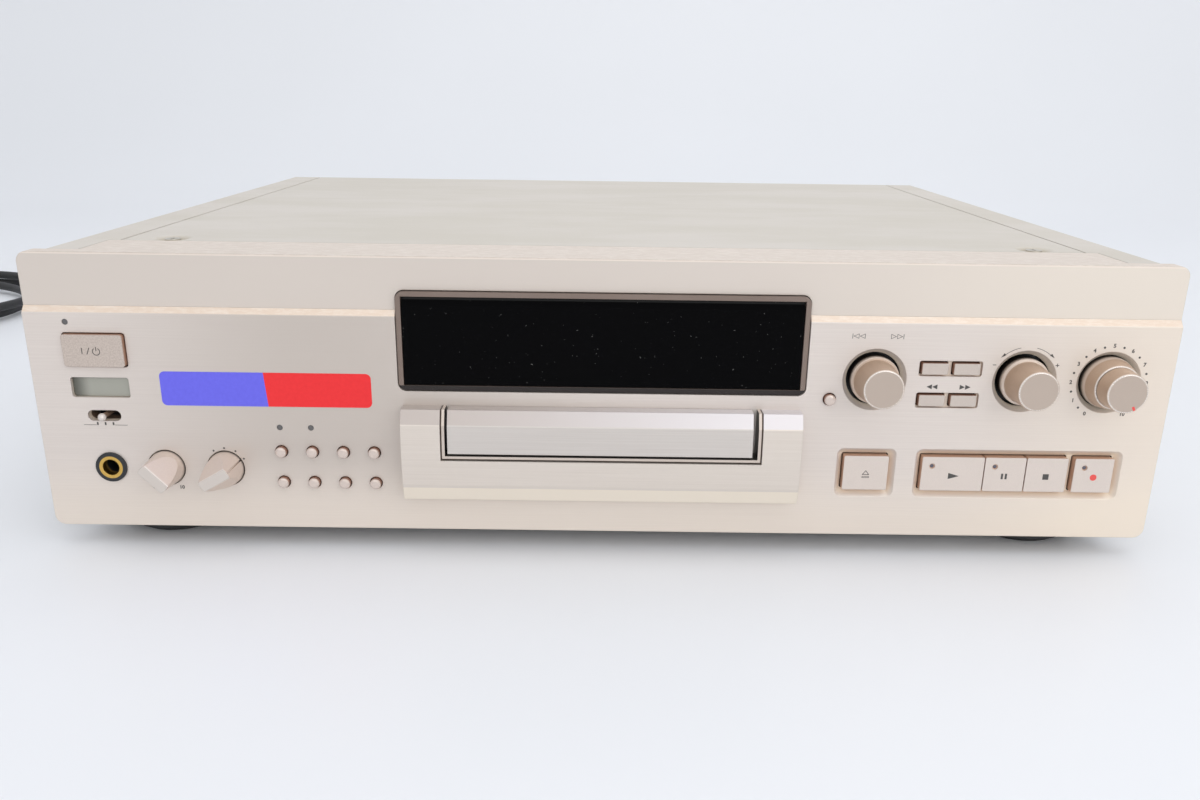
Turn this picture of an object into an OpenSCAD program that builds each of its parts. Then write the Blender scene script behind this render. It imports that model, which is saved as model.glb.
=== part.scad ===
// Full-width minidisc deck with a sliding loading tray.
// X runs right as seen from the front, Y to the back, Z up. The deck stands on z = 0.

/* [Case] */
// Width of the front panel
case_w = 430; // [424:1:440]
// Front plate's face to the rear panel's outer face
case_d = 319; // [300:1:340]
// Height of the feet under the front plate's lower edge
foot_h = 8.5; // [7:0.5:14]
// Height of the lower front plate up to its ledge
plate_h = 85.4; // [84:0.2:88]
// Height of the whole front panel
panel_h = 107.8; // [106:0.2:114]
// Thickness of the lower front plate
plate_t = 8; // [6:0.5:9]
// Radius of the front panel's corners
corner_r = 4; // [2:0.5:6]
// How far the upper face stands behind the lower one
step_back = 2; // [1:0.25:3]
// Height of the sloping ledge between the two faces
ledge_h = 2.4; // [1.5:0.1:3]
// Depth of the smooth strip along the top of the front panel
strip_d = 31.4; // [20:0.2:40]
// Width of that strip
strip_w = 389; // [380:1:392]
// Front panel's side to the side panel's outer face
side_inset = 7; // [5:0.5:9]
// Width of the side panels' top edge, out from the groove
side_top_w = 17.6; // [15:0.2:20]
// Thickness of the top plate and of the side panels
sheet_t = 2; // [1.5:0.1:3]
// Thickness of the chassis sheet and the rear panel
pan_t = 1.2; // [1:0.1:1.6]
// Height of the chassis above the front plate's lower edge
pan_z = 3; // [2:0.5:6]
// Groove between the top plate and its neighbours
groove = 0.8; // [0.4:0.1:1.2]
// Diameter of a foot
foot_d = 43; // [35:1:50]

/* [Display] */
// Width of the window's trim
window_w = 153.8; // [150:0.2:156]
// Height of the window's trim
window_h = 37.9; // [35:0.1:39]
// Height of the trim's lower edge on the panel
window_z = 57.1; // [56:0.1:59]
// Width of the trim's face
trim_face = 1.9; // [1.2:0.1:3]
// Height of the glass's sloping top edge
glass_slope_h = 3; // [1:0.5:5]

/* [Tray] */
// Width of the raised block round the tray
block_w = 151.2; // [146:0.2:153]
// Height of the block's lower edge on the panel
block_z = 15.3; // [12:0.1:18]
// Height of the block
block_h = 36.1; // [35:0.1:38]
// How far the block stands out at its fullest
block_out = 8.3; // [6:0.1:10]
// Width of the tray's front
tray_w = 115; // [112:0.5:117]
// Height of the tray front's lower edge on the panel
tray_z = 34.8; // [34:0.1:35.8]
// Gap between the tray's front and its trim
tray_gap = 1.5; // [1:0.1:1.8]
// Face width of the trim round the tray
tray_trim_w = 1.6; // [1:0.1:2]
// Width of the drawer behind the tray's front
drawer_w = 104; // [102:0.5:106]
// Length of the drawer
drawer_l = 118; // [114:1:126]
// Height of the drawer
drawer_h = 8; // [7.5:0.1:8.5]
// Width of a disc cartridge
disc_w = 68; // [66:0.5:70]
// Length of a disc cartridge
disc_l = 72; // [70:0.5:74]
// Thickness of a disc cartridge
disc_t = 5; // [4.5:0.1:5.2]
// Teeth on the gear that drives the drawer
gear_teeth = 20; // [16:4:20]
// Teeth on the motor's pinion
pinion_teeth = 8; // [8:4:12]

/* [Buttons and knobs] */
// Clearance round a button
button_gap = 0.3; // [0.2:0.05:0.4]
// Travel of a button
button_travel = 1; // [0.6:0.1:1.4]
// Diameter of a small round button
round_d = 4.4; // [3.6:0.1:5]
// How far the round buttons stand out
round_out = 2.2; // [1.5:0.1:3]
// Pitch of the small buttons' columns
round_pitch_x = 11.93; // [11:0.01:13]
// Pitch of their two rows
round_pitch_z = 12.55; // [11.5:0.05:13]
// Width of the power button
power_w = 22.5; // [20:0.5:23]
// Height of the power button
power_h = 12.3; // [11:0.1:13]
// How far the power button stands out
power_out = 1.8; // [1:0.1:2.5]
// Width of the open and close button
open_w = 17.2; // [15:0.2:18]
// Height of the transport buttons
transport_h = 13.9; // [12:0.1:14.5]
// Gap round the transport buttons in their wells
well_gap = 0.4; // [0.3:0.05:0.6]
// Width of a well's sloping side
well_slope = 2.5; // [2:0.1:2.8]
// Depth of a well
well_d = 2.8; // [1.6:0.1:3.2]
// Width of a small rectangular button
bar_w = 9.7; // [9:0.1:10.4]
// Height of a small rectangular button
bar_h = 4.3; // [3.8:0.1:4.8]
// Outer diameter of the dish round a large knob
dish_d = 24.2; // [23:0.1:25]
// Inner diameter of the dish
dish_hole_d = 20.5; // [20:0.1:22]
// Base diameter of a large knob
knob_d = 18.2; // [17:0.1:19]
// Face diameter of a large knob
knob_face_d = 15; // [13:0.1:16]
// How far the jog knob stands out
jog_out = 13.4; // [10:0.1:14.5]
// How far the inner analogue level knob stands out
knob_out = 14.5; // [12:0.1:18]
// How far the outer analogue level knob stands out
ring_knob_out = 7; // [5:0.1:9]
// Base diameter of a pointer knob
pointer_d = 13.8; // [12:0.1:14]
// Width of a pointer knob's grip
grip_w = 3.9; // [3:0.1:5]
// How far the pointer knobs stand out
pointer_out = 13; // [9:0.1:14]
// Diameter of a knob's shaft
shaft_d = 6; // [5:0.1:6.2]
// Diameter of the headphone plug that the front socket takes
phones_d = 6.35; // [6.3:0.05:6.4]

/* [Rear] */
// How far the sockets stand out of the rear panel
jack_out = 9.5; // [8:0.5:12]
// Outer diameter of a phono socket
jack_d = 8.3; // [8:0.1:8.6]
// Diameter of the mains lead
cord_d = 6.5; // [6:0.1:7]
// Length of the strain relief outside the rear panel
relief_l = 28; // [22:1:32]

/* [Hidden] */
$fn = 48;

champagne = [0.82, 0.78, 0.72];
steel = [0.72, 0.73, 0.74];
black = [0.05, 0.05, 0.06];

// Places along X, measured from the panel's sides, and closer together on a narrower panel
left = -case_w / 2;
right = case_w / 2;
spread = case_w / 430;
power_x = left + 25.2 * spread;
phone_knob_x = left + 46.5 * spread;
input_x = left + 69.5 * spread;
round_x = left + 91.7 * spread;
round_step_x = round_pitch_x * spread;
clear_x = right - 128.8 * spread;
jog_x = right - 112.4 * spread;
bar_x = right - 84.2 * spread;
digital_x = right - 55.9 * spread;
analog_x = right - 24.1 * spread;
transport_x = right - 53.4 * spread;
// Places along Z, measured from the front plate's lower edge
power_z = 71.4;
remote_z = 56.7;
timer_z = 45.5;
socket_z = 24.6;
round_z = 31.9;
lamp_z = 41.6;
clear_z = 55.9;
dial_z = 63.8;
transport_z = 26.2;
upper_bar_z = 68.45;
lower_bar_z = 56;

// Layers behind the front plate
frame_t = 3;
frame_back = plate_t + frame_t;
board_y = 24;
board_t = 1.6;
switch_y = board_y - 4.3;
flange_t = 1.2;
fit = 0.05;
clear = 0.3;
eps = 0.01;
case_half = case_w / 2 - side_inset;
inner_half = case_half - sheet_t;
groove_x = case_half - side_top_w;
top_z = panel_h - sheet_t;
glass_seat = 4;
base_z = 30;
base_t = 3;
drawer_z = base_z + base_t + 3;
drawer_mid = drawer_z + drawer_h / 2;
rail_space = 4.5;
lip_t = 1.2;
lip_x = groove_x - 8;
ledge_top = plate_h + ledge_h;
strip_t = 3;
cap_ledge_t = 3;
board_low = pan_z + 3;
board_top = top_z - cap_ledge_t - 2.8;
mid_y = (case_d + jack_out - knob_out) / 2;
relief_x = -170;
relief_z = 20.5;

// Holes and fittings in the front plate
window_mid = window_z + window_h / 2;
remote_w = 22;
remote_h = 7.9;
lamp_r = 1.15;
phones_ring_r = 5.9;
sleeve_r = shaft_d / 2 + 1;
knob_y = 3;
pot_y = 14;
ring_end = 18;
shaft_end = 22;
bar_split = 2.3;
bar_gap = 0.45;
bar_slot_side = 1.05;
bar_slot_edge = 0.85;
bar_slot_y = 1.4;
bar_offset = (bar_w + bar_split) / 2;
lamp_places = [
    [left + 15.5 * spread, 82], [round_x, lamp_z], [round_x + round_step_x, lamp_z]
];

// Everything but the cord is drawn from the front plate's face and lower edge
module place() {
    translate([0, -mid_y, foot_h]) children();
}

// Rod along +Y
module rod(r, h, r2 = undef) {
    rotate([-90, 0, 0]) cylinder(r1 = r, r2 = is_undef(r2) ? r : r2, h = h);
}

// Box centred on X and Z, from y0 to y1
module slab(x, z, w, h, y0, y1) {
    translate([x - w / 2, y0, z - h / 2]) cube([w, y1 - y0, h]);
}

// Flat rounded rectangle
module round_rect(w, h, r) {
    square([w - 2 * r, h], center = true);
    square([w, h - 2 * r], center = true);
    for (i = [-1, 1], j = [-1, 1]) translate([i * (w / 2 - r), j * (h / 2 - r)]) circle(r);
}

// Rounded slab along Y
module round_slab(x, z, w, h, r, y0, y1) {
    translate([x, y1, z]) rotate([90, 0, 0]) linear_extrude(y1 - y0) round_rect(w, h, r);
}

// Profile in the Y-Z plane, drawn along X
module along_x(w, points) {
    translate([-w / 2, 0, 0]) rotate([90, 0, 90]) linear_extrude(w) polygon(points);
}

// Outline of the whole front panel
module panel_outline(y0, y1) {
    round_slab(0, panel_h / 2, case_w, panel_h, corner_r, y0, y1);
}

// Well with four sloping sides and rounded corners, open at the front
module well(x, z, w, h) {
    r = well_slope + 0.1;
    translate([x, -eps, z]) {
        well_bar(w - 2 * r, h);
        rotate([0, 90, 0]) well_bar(h - 2 * r, w);
        for (i = [-1, 1], j = [-1, 1]) translate([i * (w / 2 - r), 0, j * (h / 2 - r)])
            rod(r, well_d, r - well_slope);
    }
}

module well_bar(l, w) {
    along_x(l, [
        [0, -w / 2], [well_d, well_slope - w / 2], [well_d, w / 2 - well_slope], [0, w / 2]
    ]);
}

// Dish and shaft hole for a large knob
module dish(x) {
    dish_y = 2.4;
    translate([x, -eps, dial_z]) rod(dish_d / 2, dish_y + eps, dish_hole_d / 2);
    translate([x, dish_y - eps, dial_z]) rod(dish_hole_d / 2, 6 - dish_y);
    translate([x, 0, dial_z]) rod(shaft_d / 2 + 1.5, plate_t + 1);
}

open_hole_w = open_w + 2 * well_gap;
play_w = 56.4;
record_w = 15;
record_gap = 2.7;
well_w = play_w + record_gap + record_w + 5.9;
play_x = transport_x - well_w / 2 + 2.7 + play_w / 2;
record_x = play_x + play_w / 2 + record_gap + record_w / 2;
well_h = 20;
open_x = jog_x;
split = 0.4;
play_face_w = 24;
pause_face_w = 15.7;
stop_face_w = play_w - play_face_w - pause_face_w - 2 * split;
play_mid = play_x - (play_w - play_face_w) / 2;
pause_mid = play_mid + (play_face_w + pause_face_w) / 2 + split;
stop_mid = pause_mid + (pause_face_w + stop_face_w) / 2 + split;

// Drawer's drive: the rack on the drawer's side, the gear and the motor's pinion
mesh_y = 22;
rack_x = -drawer_w / 2 + 2;
tooth_pitch = PI;
gear_r = gear_teeth / 2;
pinion_r = pinion_teeth / 2;
gear_z = drawer_z + 0.4;
gear_t = 3.2;
gear_x = rack_x - gear_r;
pinion_y = mesh_y + gear_r + pinion_r;
motor_h = 18;
base_l = 130;
gear_bore = 2;
spindle_y = 48;
spindle_motor_h = 7;
spindle_shaft_r = 1.5;
pinion_shaft_r = 1;

/* Case */
module chassis() color(steel) place() {
    floor_l = case_d - pan_t - frame_back;
    wall_h = 22;
    vent = [40, 4];
    difference() {
        translate([-inner_half, frame_back, pan_z]) cube([2 * inner_half, floor_l, pan_t]);
        for (x = [-60, 0, 60], y = [148 : 14 : 218]) translate([x - vent[0] / 2, y, pan_z - 1])
            cube([vent[0], vent[1], pan_t + 2]);
    }
    for (x = [-inner_half, inner_half - pan_t]) translate([x, frame_back, pan_z])
        cube([pan_t, floor_l, wall_h]);
}

module rear_panel() color(steel) place() difference() {
    union() {
        slab(0, (pan_z + top_z - lip_t) / 2, 2 * inner_half, top_z - lip_t - pan_z, case_d - pan_t, case_d);
        slab(0, (pan_z + top_z) / 2, 2 * lip_x, top_z - pan_z, case_d - pan_t, case_d);
    }
    translate([relief_x, case_d - pan_t - 1, relief_z]) rod(cord_d / 2 + 1, pan_t + 2);
}

// Side wall with its top flange and the lip that carries the top plate
module side_panel() {
    strip_end = strip_d + groove / 2;
    edge = 1.5;
    vent = [3, 50];
    difference() {
        union() {
            translate([inner_half, plate_t, pan_z])
                cube([sheet_t, case_d - plate_t, panel_h - pan_z]);
            translate([groove_x, plate_t, top_z]) cube([case_half - groove_x, case_d - plate_t, sheet_t]);
            translate([lip_x, strip_end, top_z - lip_t])
                cube([inner_half - lip_x + eps, case_d - strip_end, lip_t]);
        }
        translate([0, 0, top_z - lip_t - 1]) cube([strip_w / 2 + groove / 2, strip_end, 10]);
        translate([case_half - edge, 0, panel_h - edge]) difference() {
            cube([edge + 1, case_d + 1, edge + 1]);
            rod(edge, case_d + 2);
        }
        for (y = [90 : 18 : 252]) translate([inner_half - 1, y, 30]) cube([sheet_t + 2, vent[0], vent[1]]);
    }
}

module side_panels() color(champagne) place() {
    side_panel();
    mirror([1, 0, 0]) side_panel();
}

screw_x = lip_x + (groove_x - lip_x) / 2 - 14;
screw_y = strip_d + 7;
screw_r = 1.75;
screw_head_r = 3.1;
screw_head_t = 0.8;
screw_dish_r = 7.6;
screw_dish_d = 1;

module top_plate() color(champagne) place() difference() {
    translate([groove - groove_x, strip_d + groove / 2, top_z])
        cube([2 * (groove_x - groove), case_d - strip_d - groove / 2, sheet_t]);
    for (i = [-1, 1]) translate([i * screw_x, screw_y, top_z]) {
        translate([0, 0, sheet_t - screw_dish_d])
            cylinder(r1 = screw_head_r + 0.5, r2 = screw_dish_r, h = screw_dish_d + eps);
        translate([0, 0, -1]) cylinder(r = screw_r + fit, h = sheet_t + 2);
    }
}

module top_screws() color(steel) place() {
    for (i = [-1, 1]) translate([i * screw_x, screw_y, 0]) difference() {
        union() {
            translate([0, 0, panel_h - screw_dish_d]) cylinder(r = screw_head_r, h = screw_head_t);
            translate([0, 0, top_z - cap_ledge_t]) cylinder(r = screw_r, h = cap_ledge_t + sheet_t - 0.5);
        }
        translate([0, 0, panel_h - 0.7]) for (a = [0, 90]) rotate(a) cube([4, 0.8, 1], center = true);
    }
}

foot_x = 177;
front_foot_y = 31;
rear_foot_y = case_d - 48;
pad_t = 2;

module feet() color(black) place() {
    for (x = [-foot_x, foot_x], y = [front_foot_y, rear_foot_y]) translate([x, y, -foot_h]) {
        cylinder(d = foot_d - 8, h = pad_t);
        translate([0, 0, pad_t]) cylinder(d = foot_d - 2, h = 1);
        translate([0, 0, pad_t + 1]) cylinder(d = foot_d, h = foot_h + pan_z - pad_t - 1);
    }
}

/* Front */
module front_plate() color(champagne) place() difference() {
    intersection() {
        along_x(case_w, [[0, 0], [0, plate_h], [step_back, ledge_top], [plate_t, ledge_top], [plate_t, 0]]);
        panel_outline(-1, plate_t + 1);
    }
    window_hole();
    slab(0, drawer_mid, drawer_w + 4, drawer_h + 4, -1, plate_t + 1);
    cap_hole(power_x, power_z, power_w, power_h, button_gap + 0.2, 1.2);
    round_slab(power_x, remote_z, remote_w, remote_h, 1, -1, plate_t + 1);
    timer_slot();
    for (p = lamp_places) translate([p[0], -1, p[1]]) rod(lamp_r, plate_t + 2);
    translate([power_x, -1, socket_z]) rod(phones_ring_r + fit, plate_t + 2);
    for (x = [phone_knob_x, input_x]) translate([x, 0, socket_z]) {
        translate([0, -1, 0]) rod(pointer_d / 2 + 0.4, 2.8);
        rod(shaft_d / 2 + 0.5, plate_t + 1);
    }
    for (i = [0 : 3], j = [0, 1]) translate([round_x + i * round_step_x, -1, round_z - j * round_pitch_z])
        rod(round_d / 2 + button_gap, plate_t + 2);
    translate([clear_x, -1, clear_z]) rod(round_d / 2 + button_gap, plate_t + 2);
    for (x = [jog_x, digital_x, analog_x]) dish(x);
    for (z = [upper_bar_z, lower_bar_z]) bar_slot(z);
    well(open_x, transport_z, open_hole_w + 2 * well_slope, well_h);
    well(transport_x, transport_z, well_w, well_h);
    cap_hole(open_x, transport_z, open_w, transport_h, well_gap, 0.8);
    cap_hole(play_x, transport_z, play_w, transport_h, well_gap, 0.8);
    cap_hole(record_x, transport_z, record_w, transport_h, well_gap, 0.8);
}

// Hole through the plate for a cap with a gap all round
module cap_hole(x, z, w, h, gap, r) {
    round_slab(x, z, w + 2 * gap, h + 2 * gap, r, -1, plate_t + 1);
}

// Shallow slot for two small rectangular buttons, each with its own hole
module bar_slot(z) {
    w = 2 * bar_w + bar_split + 2 * bar_slot_side;
    round_slab(bar_x, z, w, bar_h + 2 * bar_slot_edge, 0.9, -1, bar_slot_y);
    for (i = [-1, 1]) cap_hole(bar_x + i * bar_offset, z, bar_w, bar_h, bar_gap, 0.6);
}

module timer_slot() {
    slab(power_x, timer_z, 8.4, 4.3, -1, plate_t + 1);
    for (i = [-1, 1]) translate([power_x + i * 4.2, -1, timer_z]) rod(2.15, plate_t + 2);
}

module window_hole() {
    round_slab(0, window_mid, window_w + 0.6, window_h + 0.6, 3.3, -1, plate_t + 1);
}

module front_cap() color(champagne) place() difference() {
    union() {
        intersection() {
            translate([left, step_back, ledge_top]) cube([case_w, plate_t - step_back, panel_h - ledge_top]);
            panel_outline(-1, plate_t + 1);
        }
        translate([-strip_w / 2, step_back + 1, panel_h - strip_t])
            cube([strip_w, strip_d - step_back - 1, strip_t]);
        translate([-lip_x + 1, strip_d - 4, top_z - cap_ledge_t]) cube([2 * lip_x - 2, 16, cap_ledge_t]);
    }
    window_hole();
    for (i = [-1, 1]) translate([i * screw_x, screw_y, top_z - cap_ledge_t - 1])
        cylinder(r = screw_r + fit, h = cap_ledge_t + 2);
}

// Caps that reach through the frame: x, z, width, height
caps = concat(
    [
        [power_x, power_z, power_w, power_h],
        [open_x, transport_z, open_w, transport_h],
        [play_x, transport_z, play_w, transport_h],
        [record_x, transport_z, record_w, transport_h],
        [clear_x, clear_z, round_d, round_d],
        [bar_x, upper_bar_z, 2 * bar_w + bar_split, bar_h],
        [bar_x, lower_bar_z, 2 * bar_w + bar_split, bar_h]
    ],
    [
        for (i = [0 : 3], j = [0, 1])
            [round_x + i * round_step_x, round_z - j * round_pitch_z, round_d, round_d]
    ]
);

module front_frame() color([0.2, 0.2, 0.21]) place() {
    difference() {
        translate([-inner_half, plate_t, pan_z])
            cube([2 * inner_half, frame_t, panel_h - strip_t - pan_z]);
        slab(0, window_mid, window_w - 2 * glass_seat, window_h - 2 * glass_seat, 0, frame_back + 1);
        slab(0, drawer_mid, drawer_w + 2 * rail_space, drawer_h + 2 * rail_space, 0, frame_back + 1);
        for (b = caps) frame_hole(b);
        for (x = [jog_x, digital_x, analog_x]) translate([x, 0, dial_z]) rod(shaft_d / 2 + 2, frame_back + 1);
        for (x = [phone_knob_x, input_x]) translate([x, 0, socket_z]) rod(shaft_d / 2 + 1, frame_back + 1);
        translate([power_x, 0, socket_z]) rod(5.4, frame_back + 1);
        slab(power_x, timer_z, 11, 3.8, 0, frame_back + 1);
    }
}

module board_post(x, z) {
    translate([x, frame_back, z]) rod(3, board_y - frame_back);
}

module frame_hole(b) {
    slab(b[0], b[1], b[2] + 2 * clear, b[3] + 2 * clear, 0, frame_back + 1);
}

// Side profile of the block and of the tray's front, cut by a long soft arc
module block_profile(w, back = 0) {
    arc_r = 120;
    top = block_z + block_h;
    translate([0, back, 0]) intersection() {
        along_x(w, [
            [0, block_z], [-6, block_z], [-9, block_z + 11.5], [-9, top - 9.2], [-5.6, top], [0, top]
        ]);
        translate([-w / 2 - 1, arc_r - block_out, block_z + 18.7]) rotate([0, 90, 0])
            cylinder(r = arc_r, h = w + 2, $fn = 360);
    }
}

tray_trim_in = tray_w / 2 + tray_gap;
tray_off = 0.5;
tray_trim_out = tray_trim_in + tray_trim_w;

module escutcheon() color(champagne) place() difference() {
    block_profile(block_w);
    translate([-tray_trim_out - 0.15, -20, tray_z - 2.9]) cube([2 * tray_trim_out + 0.3, 30, 40]);
}

module tray_trim() color(steel) place() difference() {
    intersection() {
        block_profile(block_w, 0.5);
        translate([-tray_trim_out, -20, tray_z - 2.4]) cube([2 * tray_trim_out, 20, 40]);
    }
    translate([-tray_trim_in, -20, tray_z - 1.1]) cube([2 * tray_trim_in, 30, 40]);
}

glass_gap = 0.3;
glass_w = window_w - 2 * trim_face - 2 * glass_gap;
glass_h = window_h - 2 * trim_face - 2 * glass_gap;
glass_y = 0.9;
glass_t = 3;

module window_frame() color(steel) place() difference() {
    round_slab(0, window_mid, window_w, window_h, 3, 0.5, plate_t);
    slab(0, window_mid, window_w - 2 * trim_face, window_h - 2 * trim_face, 0, glass_y + glass_t);
    slab(0, window_mid, window_w - 2 * glass_seat, window_h - 2 * glass_seat, 0, plate_t + 1);
}

module display_window() color(black) place() {
    z0 = window_mid - glass_h / 2;
    z1 = window_mid + glass_h / 2;
    back = glass_y + glass_t;
    along_x(glass_w, [
        [glass_y, z0], [glass_y, z1 - glass_slope_h], [glass_y + 1.4, z1], [back, z1], [back, z0]
    ]);
}

module front_board() color([0.1, 0.35, 0.2]) place() {
    display_y = 15;
    low_post = board_low + 4;
    high_post = board_top - 8;
    difference() {
        translate([4 - inner_half, board_y, board_low])
            cube([2 * inner_half - 8, board_t, board_top - board_low]);
        translate([gear_x - 15, board_y - 1, board_low - 1])
            cube([drawer_w / 2 + 25 - gear_x, board_t + 2, window_z - board_low]);
    }
    for (x = [-1, 1] * (inner_half - 12), z = [low_post, high_post]) board_post(x, z);
    for (x = [-100, 100]) board_post(x, high_post);
    for (p = switch_places) tact_switch(p[0], p[1]);
    slab(power_x, timer_z, 17, 7, frame_back + frame_t + clear, board_y);
    slab(0, window_mid, window_w - 34, window_h - 14, display_y, board_y);
}

// Middle of each button's face, with its switch behind
switch_places = concat(
    [
        [power_x, power_z], [clear_x, clear_z], [open_x, transport_z], [play_mid, transport_z],
        [pause_mid, transport_z], [stop_mid, transport_z], [record_x, transport_z]
    ],
    [for (i = [-1, 1], z = [upper_bar_z, lower_bar_z]) [bar_x + i * bar_offset, z]],
    [for (i = [0 : 3], j = [0, 1]) [round_x + i * round_step_x, round_z - j * round_pitch_z]]
);

module tact_switch(x, z) {
    slab(x, z, 6, 6, board_y - 3.5, board_y);
    translate([x, switch_y, z]) rod(1.5, 1);
}

// Pots and encoders behind the knobs, each with a bore for its shaft
module controls() color(steel) place() {
    for (x = [phone_knob_x, input_x]) translate([x, 0, socket_z]) pot(7.5, shaft_d / 2);
    translate([jog_x, 0, dial_z]) pot(8, sleeve_r);
    translate([digital_x, 0, dial_z]) pot(8, shaft_d / 2);
    translate([analog_x, 0, dial_z]) difference() {
        pot(8, shaft_d / 2);
        rod(sleeve_r + fit, ring_end + clear);
    }
}

module pot(r, bore) {
    difference() {
        translate([0, pot_y, 0]) rod(r, board_y - pot_y);
        rod(bore + fit, shaft_end + clear);
    }
}

module lenses() color([0.4, 0.42, 0.4]) place() {
    round_slab(power_x, remote_z, remote_w - 0.4, remote_h - 0.4, 0.8, 1.4, plate_t);
    for (p = lamp_places) translate([p[0], 0.2, p[1]]) rod(lamp_r - fit, plate_t - 0.2);
}

module phones_jack() color(black) place() translate([power_x, 0, socket_z]) difference() {
    union() {
        translate([0, -0.8, 0]) rod(phones_ring_r, plate_t + 0.8);
        rod(5, board_y);
    }
    translate([0, -1, 0]) rod(phones_d / 2 + fit, 23);
}

/* Inside and rear */
module transformer() color(steel) place() translate([left + 65, case_d - 79, pan_z + pan_t]) {
    plate = [80, 70, 2];
    core = [72, 60, 50];
    translate([-plate[0] / 2, -plate[1] / 2, 0]) cube(plate);
    translate([-core[0] / 2, -core[1] / 2, plate[2]]) cube(core);
    for (i = [-1, 1]) translate([0, i * core[1] / 2, plate[2] + core[2] / 2])
        rotate([i * -90, 0, 0]) cylinder(r = 20, h = 8);
}

module main_board() color([0.1, 0.35, 0.2]) place() translate([right - 195, case_d - 154, pan_z + pan_t]) {
    board = [160, 136];
    post_h = 8;
    edge = 5;
    for (x = [edge, board[0] - edge], y = [edge, board[1] - edge]) translate([x, y, 0])
        cylinder(r = 3, h = post_h);
    translate([0, 0, post_h]) cube([board[0], board[1], board_t]);
    translate([0, 0, post_h + board_t]) {
        for (x = [20, 60, 100]) translate([x, 30, 0]) cube([18, 18, 3]);
        for (x = [15 : 22 : 125]) translate([x, 100, 0]) cylinder(r = 6, h = 22);
    }
}

// Base that carries the drawer, on four legs
module mech_frame() color([0.25, 0.25, 0.27]) place() difference() {
    wall_x = drawer_w / 2 + clear;
    wall_t = 3;
    base_x = gear_x - 12;
    base_y = 14;
    runner_x = 46;
    union() {
        translate([base_x, base_y, base_z]) cube([wall_x + wall_t - base_x, base_l, base_t]);
        for (x = [-runner_x, runner_x]) translate([x - 3, base_y, base_z])
            cube([6, drawer_l - base_y, drawer_z - base_z - clear]);
        for (x = [-wall_x - wall_t, wall_x]) translate([x, base_y, base_z])
            cube([wall_t, drawer_l, drawer_z - base_z + drawer_h + 5]);
        for (x = [-runner_x, runner_x], y = [20, base_l]) translate([x, y, pan_z + pan_t])
            cylinder(r = 4, h = base_z + 1 - pan_z - pan_t);
        translate([gear_x, mesh_y, base_z]) cylinder(r = 3.6, h = gear_z - base_z - clear);
        translate([gear_x, mesh_y, base_z]) cylinder(r = gear_bore, h = gear_z + gear_t + 1 - base_z);
    }
    translate([-wall_x - 4, mesh_y - 11, gear_z - 1])
        cube([5, gear_r + 2 * pinion_r + 14, gear_t + 2]);
    translate([-18, 62, base_z - 1]) cube([36, 40, base_t + 2]);
    translate([0, spindle_y, base_z - 1]) cylinder(r = 4, h = base_t + 2);
    translate([gear_x, pinion_y, base_z - 1]) cylinder(r = 2, h = base_t + 2);
}

module motors() color(steel) place() {
    translate([gear_x, pinion_y, base_z - motor_h]) motor(10, motor_h, pinion_shaft_r);
    translate([0, spindle_y, base_z - spindle_motor_h]) motor(11, spindle_motor_h, spindle_shaft_r);
}

module motor(r, h, shaft_r) {
    difference() {
        cylinder(r = r, h = h);
        translate([0, 0, 1]) cylinder(r = shaft_r + fit, h = h);
    }
}

// Gear of module 1 with low straight-sided teeth, a tooth on +X turned by phase
module gear(teeth, h, bore, phase = 0) {
    r = teeth / 2;
    step = 360 / teeth;
    linear_extrude(h) difference() {
        polygon([for (i = [0 : teeth - 1], p = [[-0.34, -0.9], [-0.14, 0.7], [0.14, 0.7], [0.34, -0.9]])
            (r + p[1]) * [cos((i + p[0]) * step + phase), sin((i + p[0]) * step + phase)]]);
        if (bore > 0) circle(bore);
    }
}

module load_gear() color("ivory") place() translate([gear_x, mesh_y, gear_z]) {
    gear(gear_teeth, gear_t, gear_bore + fit, 180 / gear_teeth);
}

module motor_pinion() color("ivory") place() translate([gear_x, pinion_y, gear_z]) {
    phase = 90 - floor(pinion_teeth / 4) * 360 / pinion_teeth;
    gear(pinion_teeth, gear_t, 0, phase);
    translate([0, 0, base_z - motor_h + 2 - gear_z])
        cylinder(r = pinion_shaft_r, h = motor_h + gear_z - base_z - 1);
}

module spindle_hub() color(steel) place() translate([0, spindle_y, 0]) {
    translate([0, 0, base_z + 2 - spindle_motor_h]) cylinder(r = spindle_shaft_r, h = 9);
    translate([0, 0, base_z + base_t + clear]) {
        cylinder(r = 9, h = 1);
        cylinder(r = 3, h = 2.4);
    }
}

module rear_jacks() color(black) place() translate([0, case_d, 0]) {
    pitch = 18;
    first_x = 60;
    rows = [31, 31 + pitch];
    digital_jack_x = first_x + 2.9 * pitch;
    bezel_t = 1.5;
    slab(first_x + 25, (rows[0] + rows[1]) / 2, 74, 36, 0, bezel_t);
    for (i = [0 : 2], z = rows) translate([first_x + i * pitch, 0, z]) phono_jack();
    for (z = rows) difference() {
        slab(digital_jack_x, z, 12, 11, 0, 6);
        slab(digital_jack_x, z, 8, 8, bezel_t, 7);
    }
}

// Phono socket: outer shell, insulating sleeve and the bore for the plug's pin
module phono_jack() {
    floor_t = 2;
    difference() {
        rod(jack_d / 2, jack_out);
        translate([0, floor_t, 0]) difference() {
            rod(jack_d / 2 - 0.6, jack_out);
            rod(2.6, jack_out - 3);
        }
        translate([0, floor_t, 0]) rod(1.6, jack_out);
    }
}

/* Tray */
module tray_face() color(steel) place() intersection() {
    block_profile(block_w);
    translate([-tray_w / 2 - tray_off, -20, tray_z]) cube([tray_w, 20 - clear, 40]);
}

pocket_y = 12;

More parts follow.
